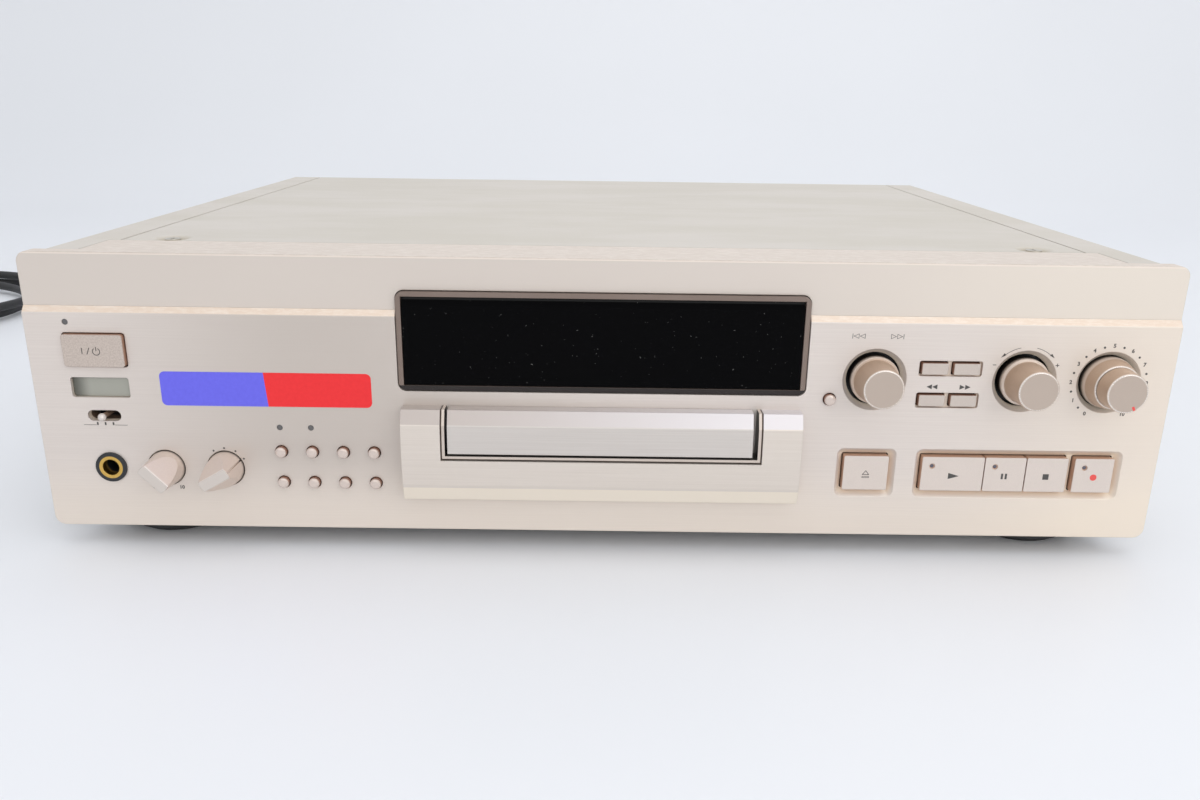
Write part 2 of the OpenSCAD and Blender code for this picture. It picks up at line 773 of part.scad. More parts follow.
module tray() color([0.3, 0.3, 0.32]) place() translate([0, -clear, drawer_z]) {
    pocket_w = disc_w + 0.6;
    pocket_l = disc_l + 0.6;
    rack_h = gear_t + 0.8;
    difference() {
        translate([-drawer_w / 2, 0, 0]) cube([drawer_w, drawer_l, drawer_h]);
        translate([-pocket_w / 2, pocket_y, drawer_h - disc_t - 0.2]) cube([pocket_w, pocket_l, drawer_h]);
        translate([-14, pocket_y + 20, -1]) cube([28, pocket_l - 24, drawer_h]);
        translate([-drawer_w / 2 - 1, 6, -1]) cube([4.1, drawer_l, rack_h + 1]);
    }
    teeth = floor((drawer_l - mesh_y - clear) / tooth_pitch) + 1;
    first_y = mesh_y + clear;
    for (i = [-2 : teeth - 2]) translate([rack_x, first_y + i * tooth_pitch, 0]) linear_extrude(rack_h)
        polygon([for (p = [[-0.34, -1.1], [-0.14, 0.7], [0.14, 0.7], [0.34, -1.1]])
            [-p[1], p[0] * tooth_pitch]]);
}

/* Buttons */
// Slab-shaped button with its stop flange and the stem that meets its switch
module slab_button(x, z, w, h, out, r) {
    round_slab(x, z, w, h, r, -out, frame_back + clear + flange_t);
    slab(x, z, w, h + 2.4, frame_back + clear, frame_back + clear + flange_t);
    stem(x, z);
}

module stem(x, z) {
    translate([x, frame_back + clear, z]) rod(1.8, switch_y - button_travel - clear - frame_back - clear);
}

module round_button(x, z) {
    translate([x, 0, z]) {
        rotate([-90, 0, 0]) rotate_extrude() polygon([
            [0, -round_out], [round_d / 2 - 0.9, -round_out], [round_d / 2 - 0.3, -round_out + 0.25],
            [round_d / 2, -round_out + 0.8], [round_d / 2, frame_back + 1], [0, frame_back + 1]
        ]);
        translate([0, frame_back + clear, 0]) rod(round_d / 2 + 1.2, flange_t);
    }
    stem(x, z);
}

module clear_button() color(steel) place() round_button(clear_x, clear_z);

module small_button(i) color(steel) place() {
    round_button(round_x + (i % 4) * round_step_x, round_z - floor(i / 4) * round_pitch_z);
}

module bar_button(i) color(steel) place() {
    side = i % 2 == 0 ? -1 : 1;
    z = i < 2 ? upper_bar_z : lower_bar_z;
    slab_button(bar_x + side * bar_offset, z, bar_w, bar_h, 0.8, 0.4);
}

module power_button() color(champagne) place() slab_button(power_x, power_z, power_w, power_h, power_out, 1);

lamp_pit_r = 1.1;
button_out = 0.4;

// Transport button with the small round lamp pit in its upper left corner
module transport_button(x, w, lamp = true) {
    difference() {
        slab_button(x, transport_z, w, transport_h, button_out, 0.5);
        if (lamp) translate([x - w / 2 + 3.9, -button_out - 1, transport_z + 3.2]) rod(lamp_pit_r, 1.4);
    }
}

module open_button() color(champagne) place() transport_button(open_x, open_w, false);

module play_button() color(champagne) place() transport_button(play_mid, play_face_w);

module pause_button() color(champagne) place() transport_button(pause_mid, pause_face_w);

module stop_button() color(champagne) place() transport_button(stop_mid, stop_face_w, false);

module record_button() color(champagne) place() transport_button(record_x, record_w);

module timer_slider() color(steel) place() translate([power_x, 0, timer_z]) {
    slab(0, 0, 14, 6.4, frame_back + clear, frame_back + 3);
    translate([0, -1.6, 0]) rod(1, frame_back + 3);
    translate([0, -1.9, 0]) sphere(r = 1.5);
}

/* Knobs */
module shaft(r, y0, y1) {
    translate([0, y0, 0]) rod(r, y1 - y0);
}

// Large knob, a low bright rim and a body that narrows to its face
module big_knob(out, rim_y, base_r, face_r) {
    rotate([-90, 0, 0]) rotate_extrude() polygon([
        [0, -out], [face_r - 0.5, -out], [face_r, -out + 0.4], [base_r - 0.9, rim_y - 0.1],
        [base_r - 0.3, rim_y], [base_r, rim_y + 0.5], [base_r, knob_y], [0, knob_y]
    ]);
}

module jog_sleeve() color(steel) place() translate([jog_x, 0, dial_z]) difference() {
    shaft(sleeve_r, knob_y, shaft_end - button_travel);
    shaft(shaft_d / 2 + fit, 0, shaft_end);
}

module jog_knob() color(champagne) place() translate([jog_x, 0, dial_z]) {
    translate([0, -clear, 0]) big_knob(jog_out - clear, -1.4, knob_d / 2, knob_face_d / 2);
    shaft(shaft_d / 2, 0, shaft_end - button_travel - clear);
}

module digital_knob() color(champagne) place() translate([digital_x, 0, dial_z]) {
    big_knob(jog_out, -1.4, knob_d / 2, knob_face_d / 2);
    shaft(shaft_d / 2, 0, shaft_end);
}

module analog_ring() color(champagne) place() translate([analog_x, 0, dial_z]) difference() {
    union() {
        rotate([-90, 0, 0]) rotate_extrude() polygon([
            [0, -ring_knob_out], [knob_face_d / 2 + 0.6, -ring_knob_out],
            [knob_face_d / 2 + 1.1, 0.5 - ring_knob_out], [knob_d / 2 + 0.9, 0], [knob_d / 2 + 0.9, knob_y],
            [0, knob_y]
        ]);
        shaft(sleeve_r, 0, ring_end);
    }
    shaft(shaft_d / 2 + fit, -knob_out, ring_end + 1);
}

module analog_knob() color(champagne) place() translate([analog_x, 0, dial_z]) {
    rotate([-90, 0, 0]) rotate_extrude() polygon([
        [0, -knob_out], [knob_face_d / 2 - 0.5, -knob_out], [knob_face_d / 2, 0.4 - knob_out],
        [knob_face_d / 2 + 0.4, -ring_knob_out - clear], [0, -ring_knob_out - clear]
    ]);
    shaft(shaft_d / 2, -ring_knob_out - 1, shaft_end);
}

// Pointer knob: a slightly tapered disc cut by two slopes that leave a bar grip with an index line
module pointer_knob(angle) {
    base_y = 1.5;
    out = pointer_out;
    index_w = 0.6;
    index_d = 0.5;
    rotate([0, -angle, 0]) difference() {
        intersection() {
            translate([0, base_y, 0]) rotate([180, 0, 0])
                rod(pointer_d / 2, out + base_y, pointer_d / 2 - 0.9);
            rotate([90, 0, 90]) translate([0, 0, -10]) linear_extrude(20) polygon([
                [-out, -grip_w / 2], [-out, grip_w / 2], [-2.4, pointer_d / 2], [base_y, pointer_d / 2],
                [base_y, -pointer_d / 2], [-2.4, -pointer_d / 2]
            ]);
        }
        translate([pointer_d / 2 - index_d - 0.45, -out - eps, -index_w / 2]) cube([3, out + 3, index_w]);
    }
    shaft(shaft_d / 2, 0, shaft_end);
}

module phone_knob() color(champagne) place() translate([phone_knob_x, 0, socket_z]) pointer_knob(134);

module input_knob() color(champagne) place() translate([input_x, 0, socket_z]) pointer_knob(30);

/* Mains lead */
relief_end = [relief_x, case_d - mid_y + relief_l, relief_z + foot_h];
tie_t = 0.8;
coil_r = 105;
coil_loops = 2;
coil_layers = 2;
coil_steps = 24;
coil_pitch = cord_d + 0.6;
coil_spread = 22;
coil_centre = [relief_x - 381, relief_end[1] + 57];
coil_z = cord_d / 2 + tie_t + clear;
coil_top = coil_z + coil_pitch * (coil_layers - 1);
plug_w = 23;
plug_h = 17;
plug_l = 26;

// Lead from the strain relief to the coil: X and Y from the relief's end, and the share of its height
lead_steps = [
    [0, 0, 1], [0, 7, 1], [0, 18, 0.96], [-1, 29, 0.86], [-3, 40, 0.69], [-6, 51, 0.48],
    [-10, 61, 0.29], [-16, 71, 0.14], [-24, 80, 0.05], [-34.5, 87, 0.01], [-48, 93.5, 0], [-64, 98, 0],
    [-82, 101.5, 0], [-100.5, 104, 0], [-120.5, 107, 0], [-140.5, 111.5, 0], [-160.5, 117, 0],
    [-180.5, 123.5, 0], [-200.5, 130.5, 0], [-220.5, 137, 0], [-240.5, 143.5, 0], [-260.5, 149.5, 0],
    [-280.5, 154.5, 0], [-300.5, 158.5, 0], [-320.5, 160.5, 0.005], [-339, 162, 0.015],
    [-356, 162, 0.026]
];
// Tail from the coil to the plug: X and Y from the coil's end, and the share of the coil's height
tail_steps = [
    [-13, 0, 1], [-26, 0, 0.95], [-40, 0, 0.85], [-54, 0, 0.65], [-68, 0, 0.42], [-82, 0, 0.22],
    [-95, -1, 0.1], [-107, -5, 0.03], [-116, -13, 0], [-121, -24, 0], [-122, -36, 0], [-122, -45, 0]
];

// Tube of a given radius along a list of points that never rises straight up
function unit(v) = v / norm(v);
function heading(p, i) = unit(p[min(i + 1, len(p) - 1)] - p[max(i - 1, 0)]);
function ring(c, t, r, n, start) =
    let (side = unit(cross(t, [0, 0, 1])), up = cross(side, t))
    [for (k = [0 : n - 1]) c + r * (cos(start + k * 360 / n) * side + sin(start + k * 360 / n) * up)];

module tube(points, r, n) {
    last = len(points) - 1;
    rings = [for (i = [0 : last]) each ring(points[i], heading(points, i), r, n, 180 / n)];
    sides = [
        for (i = [0 : last - 1], k = [0 : n - 1], h = [0, 1])
            let (a = i * n + k, b = i * n + (k + 1) % n)
            h == 0 ? [a, b, a + n] : [b, b + n, a + n]
    ];
    ends = [
        for (k = [1 : n - 2], h = [0, 1])
            h == 0 ? [0, k + 1, k] : [last * n, last * n + k, last * n + k + 1]
    ];
    polyhedron(points = rings, faces = concat(sides, ends), convexity = 10);
}

// Coil: turns spiral in and out again, and climb a layer where the spiral reverses
turns_per_layer = coil_loops / coil_layers;
function layer_phase(t) = t / turns_per_layer;
function zigzag(t) = let (s = layer_phase(t), k = floor(s), f = s - k) k % 2 == 0 ? f : 1 - f;
function climb(t) =
    let (k = round(layer_phase(t)), d = (t - k * turns_per_layer) / 0.25)
    k <= 0 || k >= coil_layers ? floor(min(layer_phase(t), coil_layers - 0.01))
        : abs(d) >= 1 ? (d < 0 ? k - 1 : k) : k - 0.5 + 0.5 * sin(90 * d);
function coil_point(t) =
    let (r = coil_r - coil_spread * turns_per_layer * zigzag(t), a = 90 + 360 * t)
    [coil_centre[0] + r * cos(a), coil_centre[1] + r * sin(a), coil_z + coil_pitch * climb(t)];
coil_turns = [for (i = [0 : coil_loops * coil_steps]) coil_point(i / coil_steps)];
coil_end = coil_turns[len(coil_turns) - 1];
coil_from = coil_turns[0] + [cord_d, 0, 0];
coil_to = coil_end - [cord_d, 0, 0];
coil_path = concat([coil_from], coil_turns, [coil_to]);
rest_z = cord_d / 2 + fit;
function step_point(p, from, high, low) = [from[0] + p[0], from[1] + p[1], low + p[2] * (high - low)];
lead_route = concat(
    [for (p = lead_steps) step_point(p, relief_end, relief_end[2], rest_z)],
    [coil_from + [cord_d, 0, 0], coil_from]
);
tail_route = concat([coil_to], [for (p = tail_steps) step_point(p, coil_end, coil_top, plug_h / 2)]);
plug_at = tail_route[len(tail_route) - 1];

// Least distance between turns at least half a loop apart, less the cord's diameter
function nearest(i) = min([for (j = [i + 12 : len(coil_turns) - 1]) norm(coil_turns[i] - coil_turns[j])]);
coil_gap = min([for (i = [0 : len(coil_turns) - 14]) nearest(i)]) - cord_d;
echo(coil_gap = coil_gap);

module strain_relief() color(black) place() translate([relief_x, case_d, relief_z]) difference() {
    union() {
        rod(8, 2.5);
        translate([0, 2.5, 0]) rod(5.8, relief_l - 2.5, cord_d / 2 + 0.8);
        translate([0, -4, 0]) rod(cord_d / 2 + 0.9, 5);
    }
    for (i = [0 : 4]) translate([0, 6 + i * 4, 0]) difference() {
        rod(9, 1.2);
        rod(4.4, 1.2);
    }
}

module cord_lead() color(black) tube(lead_route, cord_d / 2, 8);

module cord_coil() color(black) tube(coil_path, cord_d / 2, 6);

module cord_tail() color(black) tube(tail_route, cord_d / 2, 8);

// Strap round the coil's bundle
module cord_tie() color([0.15, 0.15, 0.16]) {
    tie_r = coil_r - coil_spread * turns_per_layer / 2;
    inner = tie_r - cord_d / 2 - clear;
    outer = tie_r + cord_d / 2 + clear;
    top = coil_top + cord_d / 2 + clear;
    translate([coil_centre[0], coil_centre[1], 0]) rotate(-90) rotate([90, 0, 0])
        translate([0, 0, -3]) linear_extrude(6) difference() {
            translate([inner - tie_t, 0]) square([outer - inner + 2 * tie_t, top + tie_t]);
            translate([inner, tie_t]) square([outer - inner, top - tie_t]);
        }
}

module plug() color(black) translate(plug_at) rotate(180) {
    neck_l = 14;
    blade = [1.5, 18, 6.3];
    blade_pitch = 12.7;
    rod(cord_d / 2 + 0.8, neck_l, 6);
    translate([0, neck_l - 1 + plug_l / 2, -plug_h / 2]) linear_extrude(plug_h)
        round_rect(plug_w, plug_l, 4);
    for (i = [-1, 1]) translate([(i * blade_pitch - blade[0]) / 2, neck_l - 2 + plug_l, -blade[2] / 2])
        cube(blade);
}

/* Nodes */
chassis();
rear_panel();
side_panels();
top_plate();
top_screws();
feet();
front_plate();
front_cap();
front_frame();
escutcheon();
tray_trim();
window_frame();
display_window();
front_board();
controls();
lenses();
phones_jack();
transformer();
main_board();
mech_frame();
motors();
rear_jacks();
tray();
tray_face();
load_gear();
motor_pinion();
spindle_hub();
power_button();
timer_slider();
phone_knob();
input_knob();
small_button(0);  // button_1
small_button(1);  // button_2
small_button(2);  // button_3
small_button(3);  // button_4
small_button(4);  // button_5
small_button(5);  // button_6
small_button(6);  // button_7
small_button(7);  // button_8
clear_button();
bar_button(0);  // bar_1
bar_button(1);  // bar_2
bar_button(2);  // bar_3
bar_button(3);  // bar_4
jog_sleeve();
jog_knob();
digital_knob();
analog_ring();
analog_knob();
open_button();
play_button();
pause_button();
stop_button();
record_button();
strain_relief();
cord_lead();
cord_coil();
cord_tail();
cord_tie();
plug();
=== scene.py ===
import math

import bmesh
import bpy
from mathutils import Matrix, Vector


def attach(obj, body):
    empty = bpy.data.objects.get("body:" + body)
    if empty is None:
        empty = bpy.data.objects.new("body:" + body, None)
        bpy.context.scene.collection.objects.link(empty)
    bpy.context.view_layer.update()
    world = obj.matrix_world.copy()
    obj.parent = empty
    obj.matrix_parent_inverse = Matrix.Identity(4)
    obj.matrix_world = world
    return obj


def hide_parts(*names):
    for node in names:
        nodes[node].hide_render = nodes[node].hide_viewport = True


print("frame: loading the packed deck")
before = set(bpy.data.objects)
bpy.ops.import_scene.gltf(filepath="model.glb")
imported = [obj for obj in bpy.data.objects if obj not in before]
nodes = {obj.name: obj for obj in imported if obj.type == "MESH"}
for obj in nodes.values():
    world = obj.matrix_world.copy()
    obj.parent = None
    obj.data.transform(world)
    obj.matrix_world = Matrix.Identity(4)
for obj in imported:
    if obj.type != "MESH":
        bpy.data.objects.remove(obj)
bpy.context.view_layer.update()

# middle of the front plate's lower edge, in millimetres in the frame
panelStart = Vector((0, -157, 8.5))


def onPanel(x, y, z):  # millimetres from the front plate's face and lower edge, as metres in the frame
    return (Vector((x, y, z)) + panelStart) / 1000


def inFrame(x, y, z):  # millimetres in the frame, as metres
    return Vector((x, y, z)) / 1000


# camera
shot = {
    "lens": 29.405,  # millimetres on a 36 mm wide sensor
    "place": (-1.57, -511.57, 175.29),
    "yaw": 0.1356,
    "pitch": 17.594,
    "roll": 0.7943,
}


def makeCamera():
    yaw, pitch, roll = (math.radians(shot[k]) for k in ("yaw", "pitch", "roll"))
    ahead = Vector((math.sin(yaw) * math.cos(pitch), math.cos(yaw) * math.cos(pitch), -math.sin(pitch)))
    level = Vector((math.cos(yaw), -math.sin(yaw), 0))
    upright = level.cross(ahead)
    right = math.cos(roll) * level + math.sin(roll) * upright
    up = math.cos(roll) * upright - math.sin(roll) * level
    data = bpy.data.cameras.new("deckCamera")
    data.sensor_width = 36
    data.lens = shot["lens"]
    data.clip_start, data.clip_end = 0.01, 30
    camera = bpy.data.objects.new("deckCamera", data)
    turned = Matrix((right, up, -ahead)).transposed().to_4x4()
    camera.matrix_world = Matrix.Translation(inFrame(*shot["place"])) @ turned
    bpy.context.scene.collection.objects.link(camera)
    bpy.context.scene.camera = camera


makeCamera()


# shader maths
def rgb(red, green, blue):  # colour as seen on a screen, 0 to 255, as linear light
    parts = [c / 255 for c in (red, green, blue)]
    return (*[p / 12.92 if p < 0.04045 else ((p + 0.055) / 1.055) ** 2.4 for p in parts], 1)


class Value:
    def __init__(self, finish, socket):
        self.finish = finish
        self.socket = socket

    def maths(self, operation, a, b=0.0):
        made = self.finish.node("ShaderNodeMath", {"operation": operation}, [a, b])
        return Value(self.finish, made.outputs[0])

    def __add__(self, other):
        return self.maths("ADD", self, other)

    def __sub__(self, other):
        return self.maths("SUBTRACT", self, other)

    def __rsub__(self, other):
        return self.maths("SUBTRACT", other, self)

    def __mul__(self, other):
        return self.maths("MULTIPLY", self, other)

    def __pow__(self, other):
        return self.maths("POWER", self, other)

    __radd__ = __add__
    __rmul__ = __mul__

    def between(self, low, high):  # 0 at low, 1 at high, smooth in between
        made = self.finish.node(
            "ShaderNodeMapRange", {"interpolation_type": "SMOOTHSTEP"}, [self, low, high, 0.0, 1.0]
        )
        return Value(self.finish, made.outputs[0])


class Finish:
    # places and distances are in millimetres on the panel, relief depths and edges in metres
    def __init__(self, name, **fixed):
        self.material = bpy.data.materials.new(name)
        self.material.use_nodes = True
        self.tree = self.material.node_tree
        self.shader = self.tree.nodes["Principled BSDF"]
        self.place = self.node("ShaderNodeTexCoord").outputs["Object"]
        for key, value in fixed.items():
            self.give(key.replace("_", " "), value)

    def node(self, kind, settings=None, inputs=None):
        made = self.tree.nodes.new(kind)
        for key, value in (settings or {}).items():
            setattr(made, key, value)
        pairs = inputs.items() if isinstance(inputs, dict) else enumerate(inputs or [])
        for key, value in pairs:
            self.put(made.inputs[key], value)
        return made

    def put(self, socket, value):
        if isinstance(value, Value):
            value = value.socket
        if isinstance(value, bpy.types.NodeSocket):
            self.tree.links.new(value, socket)
        else:
            socket.default_value = value

    def give(self, name, value):
        self.put(self.shader.inputs[name], value)

    def axis(self, letter):
        place = self.node("ShaderNodeSeparateXYZ", None, [self.place]).outputs[letter]
        return Value(self, place) * 1000 - panelStart["XYZ".index(letter)]

    def within(self, letter, low, high):  # 1 between two places along an axis, else 0
        place = self.axis(letter)
        return place.between(low - 0.01, low + 0.01) * (1 - place.between(high - 0.01, high + 0.01))

    def away(self, first, second, letters="XZ"):  # distance from a line square to the two axes named
        a, b = self.axis(letters[0]) - first, self.axis(letters[1]) - second
        return (a * a + b * b) ** 0.5

    def noise(self, stretch, detail=3.0, roughness=0.55):
        spread = self.node("ShaderNodeMapping", None, {"Vector": self.place, "Scale": stretch}).outputs[0]
        made = self.node(
            "ShaderNodeTexNoise", None,
            {"Vector": spread, "Scale": 1.0, "Detail": detail, "Roughness": roughness},
        )
        return Value(self, made.outputs[0])

    def grain(self, fine, detail=3.0, roughness=0.55):  # noise that is as fine along every axis
        return self.noise((fine, fine, fine), detail, roughness)

    def mix(self, factor, a, b):
        made = self.node("ShaderNodeMix", {"data_type": "RGBA"})
        self.put(made.inputs[0], factor)
        self.put(made.inputs[6], a)
        self.put(made.inputs[7], b)
        return made.outputs[2]

    def relief(self, height, depth, edge=0.0):
        made = self.node("ShaderNodeBump", None, {"Height": height, "Distance": depth, "Strength": 1.0})
        if edge:
            rounded = self.node("ShaderNodeBevel", {"samples": 4}, {"Radius": edge})
            self.put(made.inputs["Normal"], rounded.outputs[0])
        self.give("Normal", made.outputs[0])


def wear(finish, *names):  # gives CAD nodes their finish
    for name in names:
        mesh = nodes[name].data
        mesh.materials.clear()
        mesh.materials.append(finish.material)


# pieces
def newPiece(mesh, name, body, finish, smooth=None):
    bmesh.ops.recalc_face_normals(mesh, faces=mesh.faces)
    data = bpy.data.meshes.new(name)
    mesh.to_mesh(data)
    mesh.free()
    if smooth is not None:
        data.shade_smooth()
        data.set_sharp_from_angle(angle=math.radians(smooth))
    piece = bpy.data.objects.new(name, data)
    bpy.context.scene.collection.objects.link(piece)
    data.materials.append(finish.material)
    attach(piece, body)
    return piece


def block(mesh, centre, size):  # a box by its centre in metres and its size in millimetres
    stretch = Matrix.Diagonal((*[s / 1000 for s in size], 1))
    bmesh.ops.create_cube(mesh, size=1, matrix=Matrix.Translation(centre) @ stretch)


def roundOff(mesh, edges, radius, segments):
    bmesh.ops.bevel(
        mesh, geom=edges, offset=radius / 1000, offset_type="OFFSET", affect="EDGES", segments=segments,
        profile=0.5, material=-1,
    )


def spun(mesh, profile, centre, steps=64, angle=360, start=0):
    # turns a line of (radius, depth) points in millimetres about an axis along Y through centre
    turn = Matrix.Rotation(math.radians(start), 4, "Y")
    verts = [mesh.verts.new(centre + turn @ (Vector((r, d, 0)) / 1000)) for r, d in profile]
    edges = [mesh.edges.new(pair) for pair in zip(verts, verts[1:])]
    bmesh.ops.spin(
        mesh, geom=verts + edges, cent=centre, axis=(0, 1, 0), angle=math.radians(angle),
        steps=steps, use_merge=angle == 360, use_duplicate=False,
    )
    bmesh.ops.remove_doubles(mesh, verts=mesh.verts, dist=1e-6)


# mains lead: the route's points as in the part's source, in millimetres
lead = {
    "thick": 6.5,
    "exit": (-170, 190, 29),
    "restGap": 0.05,
    "coil": (-551, 247),
    "coilRadius": 105,
    "coilGap": 1.1,
    "pitch": 7.1,
    "spread": 22,
    "loops": 2,
    "layers": 2,
    "climb": 0.25,  # turns before and after a layer's end in which the lead climbs to the next
    "steps": 24,
}
leadSteps = [
    (0, 0, 1), (0, 7, 1), (0, 18, 0.96), (-1, 29, 0.86), (-3, 40, 0.69), (-6, 51, 0.48),
    (-10, 61, 0.29), (-16, 71, 0.14), (-24, 80, 0.05), (-34.5, 87, 0.01), (-48, 93.5, 0), (-64, 98, 0),
    (-82, 101.5, 0), (-100.5, 104, 0), (-120.5, 107, 0), (-140.5, 111.5, 0), (-160.5, 117, 0),
    (-180.5, 123.5, 0), (-200.5, 130.5, 0), (-220.5, 137, 0), (-240.5, 143.5, 0), (-260.5, 149.5, 0),
    (-280.5, 154.5, 0), (-300.5, 158.5, 0), (-320.5, 160.5, 0.005), (-339, 162, 0.015),
    (-356, 162, 0.026),
]
tailSteps = [
    (-13, 0, 1), (-26, 0, 0.95), (-40, 0, 0.85), (-54, 0, 0.65), (-68, 0, 0.42), (-82, 0, 0.22),
    (-95, -1, 0.1), (-107, -5, 0.03), (-116, -13, 0), (-121, -24, 0), (-122, -36, 0), (-122, -45, 0),
]
plug = {
    "grip": (23, 26, 17),
    "corner": 3.5,
    "neck": 13,
    "ridge": (1, 1.2, 5.5),
    "ridgeSide": 11.2,
    "ridgeStart": 19,
    "ridgePitch": 4,
    "blade": (1.5, 18, 6.3),
    "bladeSide": 6.35,
    "bladeMiddle": 46.5,
}


def stepPoint(step, start, high, low):
    return Vector((start[0] + step[0], start[1] + step[1], low + step[2] * (high - low)))


def coilPoint(turn):
    perLayer = lead["loops"] / lead["layers"]
    layer = turn / perLayer
    whole, part = math.floor(layer), layer - math.floor(layer)
    inward = part if whole % 2 == 0 else 1 - part
    near = round(layer)
    off = (turn - near * perLayer) / lead["climb"]
    if near <= 0 or near >= lead["layers"]:
        level = math.floor(min(layer, lead["layers"] - 0.01))
    elif abs(off) >= 1:
        level = near - 1 if off < 0 else near
    else:
        level = near - 0.5 + 0.5 * math.sin(math.radians(90 * off))
    radius = lead["coilRadius"] - lead["spread"] * perLayer * inward
    angle = math.radians(90 + 360 * turn)
    low = lead["thick"] / 2 + lead["coilGap"]
    x, y = lead["coil"]
    return Vector((x + radius * math.cos(angle), y + radius * math.sin(angle), low + lead["pitch"] * level))


def leadRoute():
    low = lead["thick"] / 2 + lead["restGap"]
    coil = [coilPoint(i / lead["steps"]) for i in range(lead["loops"] * lead["steps"] + 1)]
    along = Vector((lead["thick"], 0, 0))
    route = [stepPoint(s, lead["exit"], lead["exit"][2], low) for s in leadSteps]
    route += [coil[0] + 2 * along, coil[0] + along, *coil, coil[-1] - along]
    return route + [stepPoint(s, coil[-1], coil[-1].z, plug["grip"][2] / 2) for s in tailSteps]


rubber = Finish("rubber")
grain = rubber.grain(700, 4)
rubber.give("Roughness", 0.42 + 0.2 * grain)
rubber.give("Base Color", rubber.mix(grain, rgb(28, 28, 30), rgb(44, 44, 47)))
rubber.relief(grain, 0.00006)

brass = Finish("brass", Metallic=1.0)
haze = brass.grain(300, 4)
brass.give("Roughness", 0.16 + 0.22 * haze)
brass.give("Base Color", brass.mix(haze, rgb(206, 168, 92), rgb(235, 205, 132)))

strap = Finish("strap", Base_Color=rgb(30, 30, 32), Roughness=0.38)
strap.relief(strap.grain(1500), 0.00004)


def makeLead(route):
    line = bpy.data.curves.new("mainsLead", "CURVE")
    line.dimensions = "3D"
    line.bevel_depth = lead["thick"] / 2000
    line.bevel_resolution = 4
    line.resolution_u = 4
    line.use_fill_caps = True
    spline = line.splines.new("BEZIER")
    spline.bezier_points.add(len(route) - 1)
    for knot, point in zip(spline.bezier_points, route):
        knot.co = point / 1000
        knot.handle_left_type = knot.handle_right_type = "AUTO"
    line.materials.append(rubber.material)
    piece = bpy.data.objects.new("mainsLead", line)
    bpy.context.scene.collection.objects.link(piece)
    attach(piece, "deck")
    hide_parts("cord_lead", "cord_coil", "cord_tail")
    return piece


def makePlug(at):
    # rounded grip with finger ridges, a ribbed neck and two flat blades, pointing towards the front
    mesh = bmesh.new()
    block(mesh, inFrame(at.x, at.y - plug["neck"] - plug["grip"][1] / 2, at.z), plug["grip"])
    roundOff(mesh, list(mesh.edges), plug["corner"], 5)
    stretch = Matrix.Diagonal((*inFrame(*plug["ridge"]), 1))
    for i in range(4):
        y = at.y - plug["ridgeStart"] - i * plug["ridgePitch"]
        for side in (-1, 1):
            spot = Matrix.Translation(inFrame(at.x + side * plug["ridgeSide"], y, at.z))
            bmesh.ops.create_uvsphere(mesh, u_segments=16, v_segments=10, radius=1, matrix=spot @ stretch)
    neck = [(0, 0), (4.05, 0)]
    for i in range(4):
        y = -1 - 3 * i
        wide = 4.3 + 0.45 * i
        neck += [(wide, y), (wide, y - 1.6), (wide - 0.7, y - 1.9), (wide - 0.7, y - 2.7)]
    neck += [(6, -plug["neck"]), (6, -plug["neck"] - 1), (0, -plug["neck"] - 1)]
    spun(mesh, neck, inFrame(*at), 32)
    body = newPiece(mesh, "plugBody", "deck", rubber, 40)
    mesh = bmesh.new()
    for side in (-1, 1):
        middle = inFrame(at.x + side * plug["bladeSide"], at.y - plug["bladeMiddle"], at.z)
        block(mesh, middle, plug["blade"])
    roundOff(mesh, list(mesh.edges), 0.3, 2)
    blades = newPiece(mesh, "plugBlades", "deck", brass)
    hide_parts("plug")
    return body, blades


print("mains lead: winding the coil")
route = leadRoute()
mainsLead = makeLead(route)
plugBody, plugBlades = makePlug(route[-1])
leadLength = sum((b - a).length for a, b in zip(route, route[1:])) / 1000
print(f"mains lead: {leadLength:.3f} m")
wear(rubber, "strain_relief")
wear(strap, "cord_tie")


# metal finishes of the front
brushing = {"along": 22, "across": 2600, "depth": 0.000015}


def brushed(finish, dark, light, roughness=0.36):
    # fine lines along X, a slow drift of tone under them, and softly rounded edges
    lines = finish.noise((brushing["along"], brushing["across"], brushing["across"]), 4, 0.7)
    drift = finish.noise((6, 20, 30), 2)
    finish.give("Roughness", roughness + 0.1 * lines)
    finish.relief(lines, brushing["depth"], 0.0003)
    return finish.mix(lines.between(0.25, 0.75) * 0.6 + drift * 0.4, dark, light)


def dusty(finish, clean, mask, peach, pale):
    # upward strips keep a warm dusty film with paler flecks, and the film is also a painted sheen of the
    # light from above
    flecks = finish.noise((240, 900, 900), 6, 0.7).between(0.4, 0.7)
    return finish.mix(mask, clean, finish.mix(flecks, peach, pale))


print("front: brushing the metal")
panel = {  # millimetres, within which the face has its dishes, wells and slot
    "face": (-206, 206),
    "faceHigh": (3.5, 84),
    "timer": (-199, -181),
    "timerHigh": (40.5, 50.5),
    "ledge": 85.5,
}
panelFinish = Finish("panelFinish")
face = brushed(panelFinish, rgb(216, 206, 199), rgb(227, 218, 211))
across, depth, high = (panelFinish.axis(letter) for letter in "XYZ")
# painted light and shade: the face is painted dimmest left of the window, and warmer and lighter low down
# and to the right
paintedShadeLeft = across.between(-210, -110) * (1 - across.between(-100, 20))
low = 1 - high.between(2, 34)
face = panelFinish.mix(paintedShadeLeft * (1 - low) * 0.8, face, rgb(196, 186, 177))
face = panelFinish.mix(across.between(120, 220) * 0.7 + low * 0.5, face, rgb(238, 225, 209))
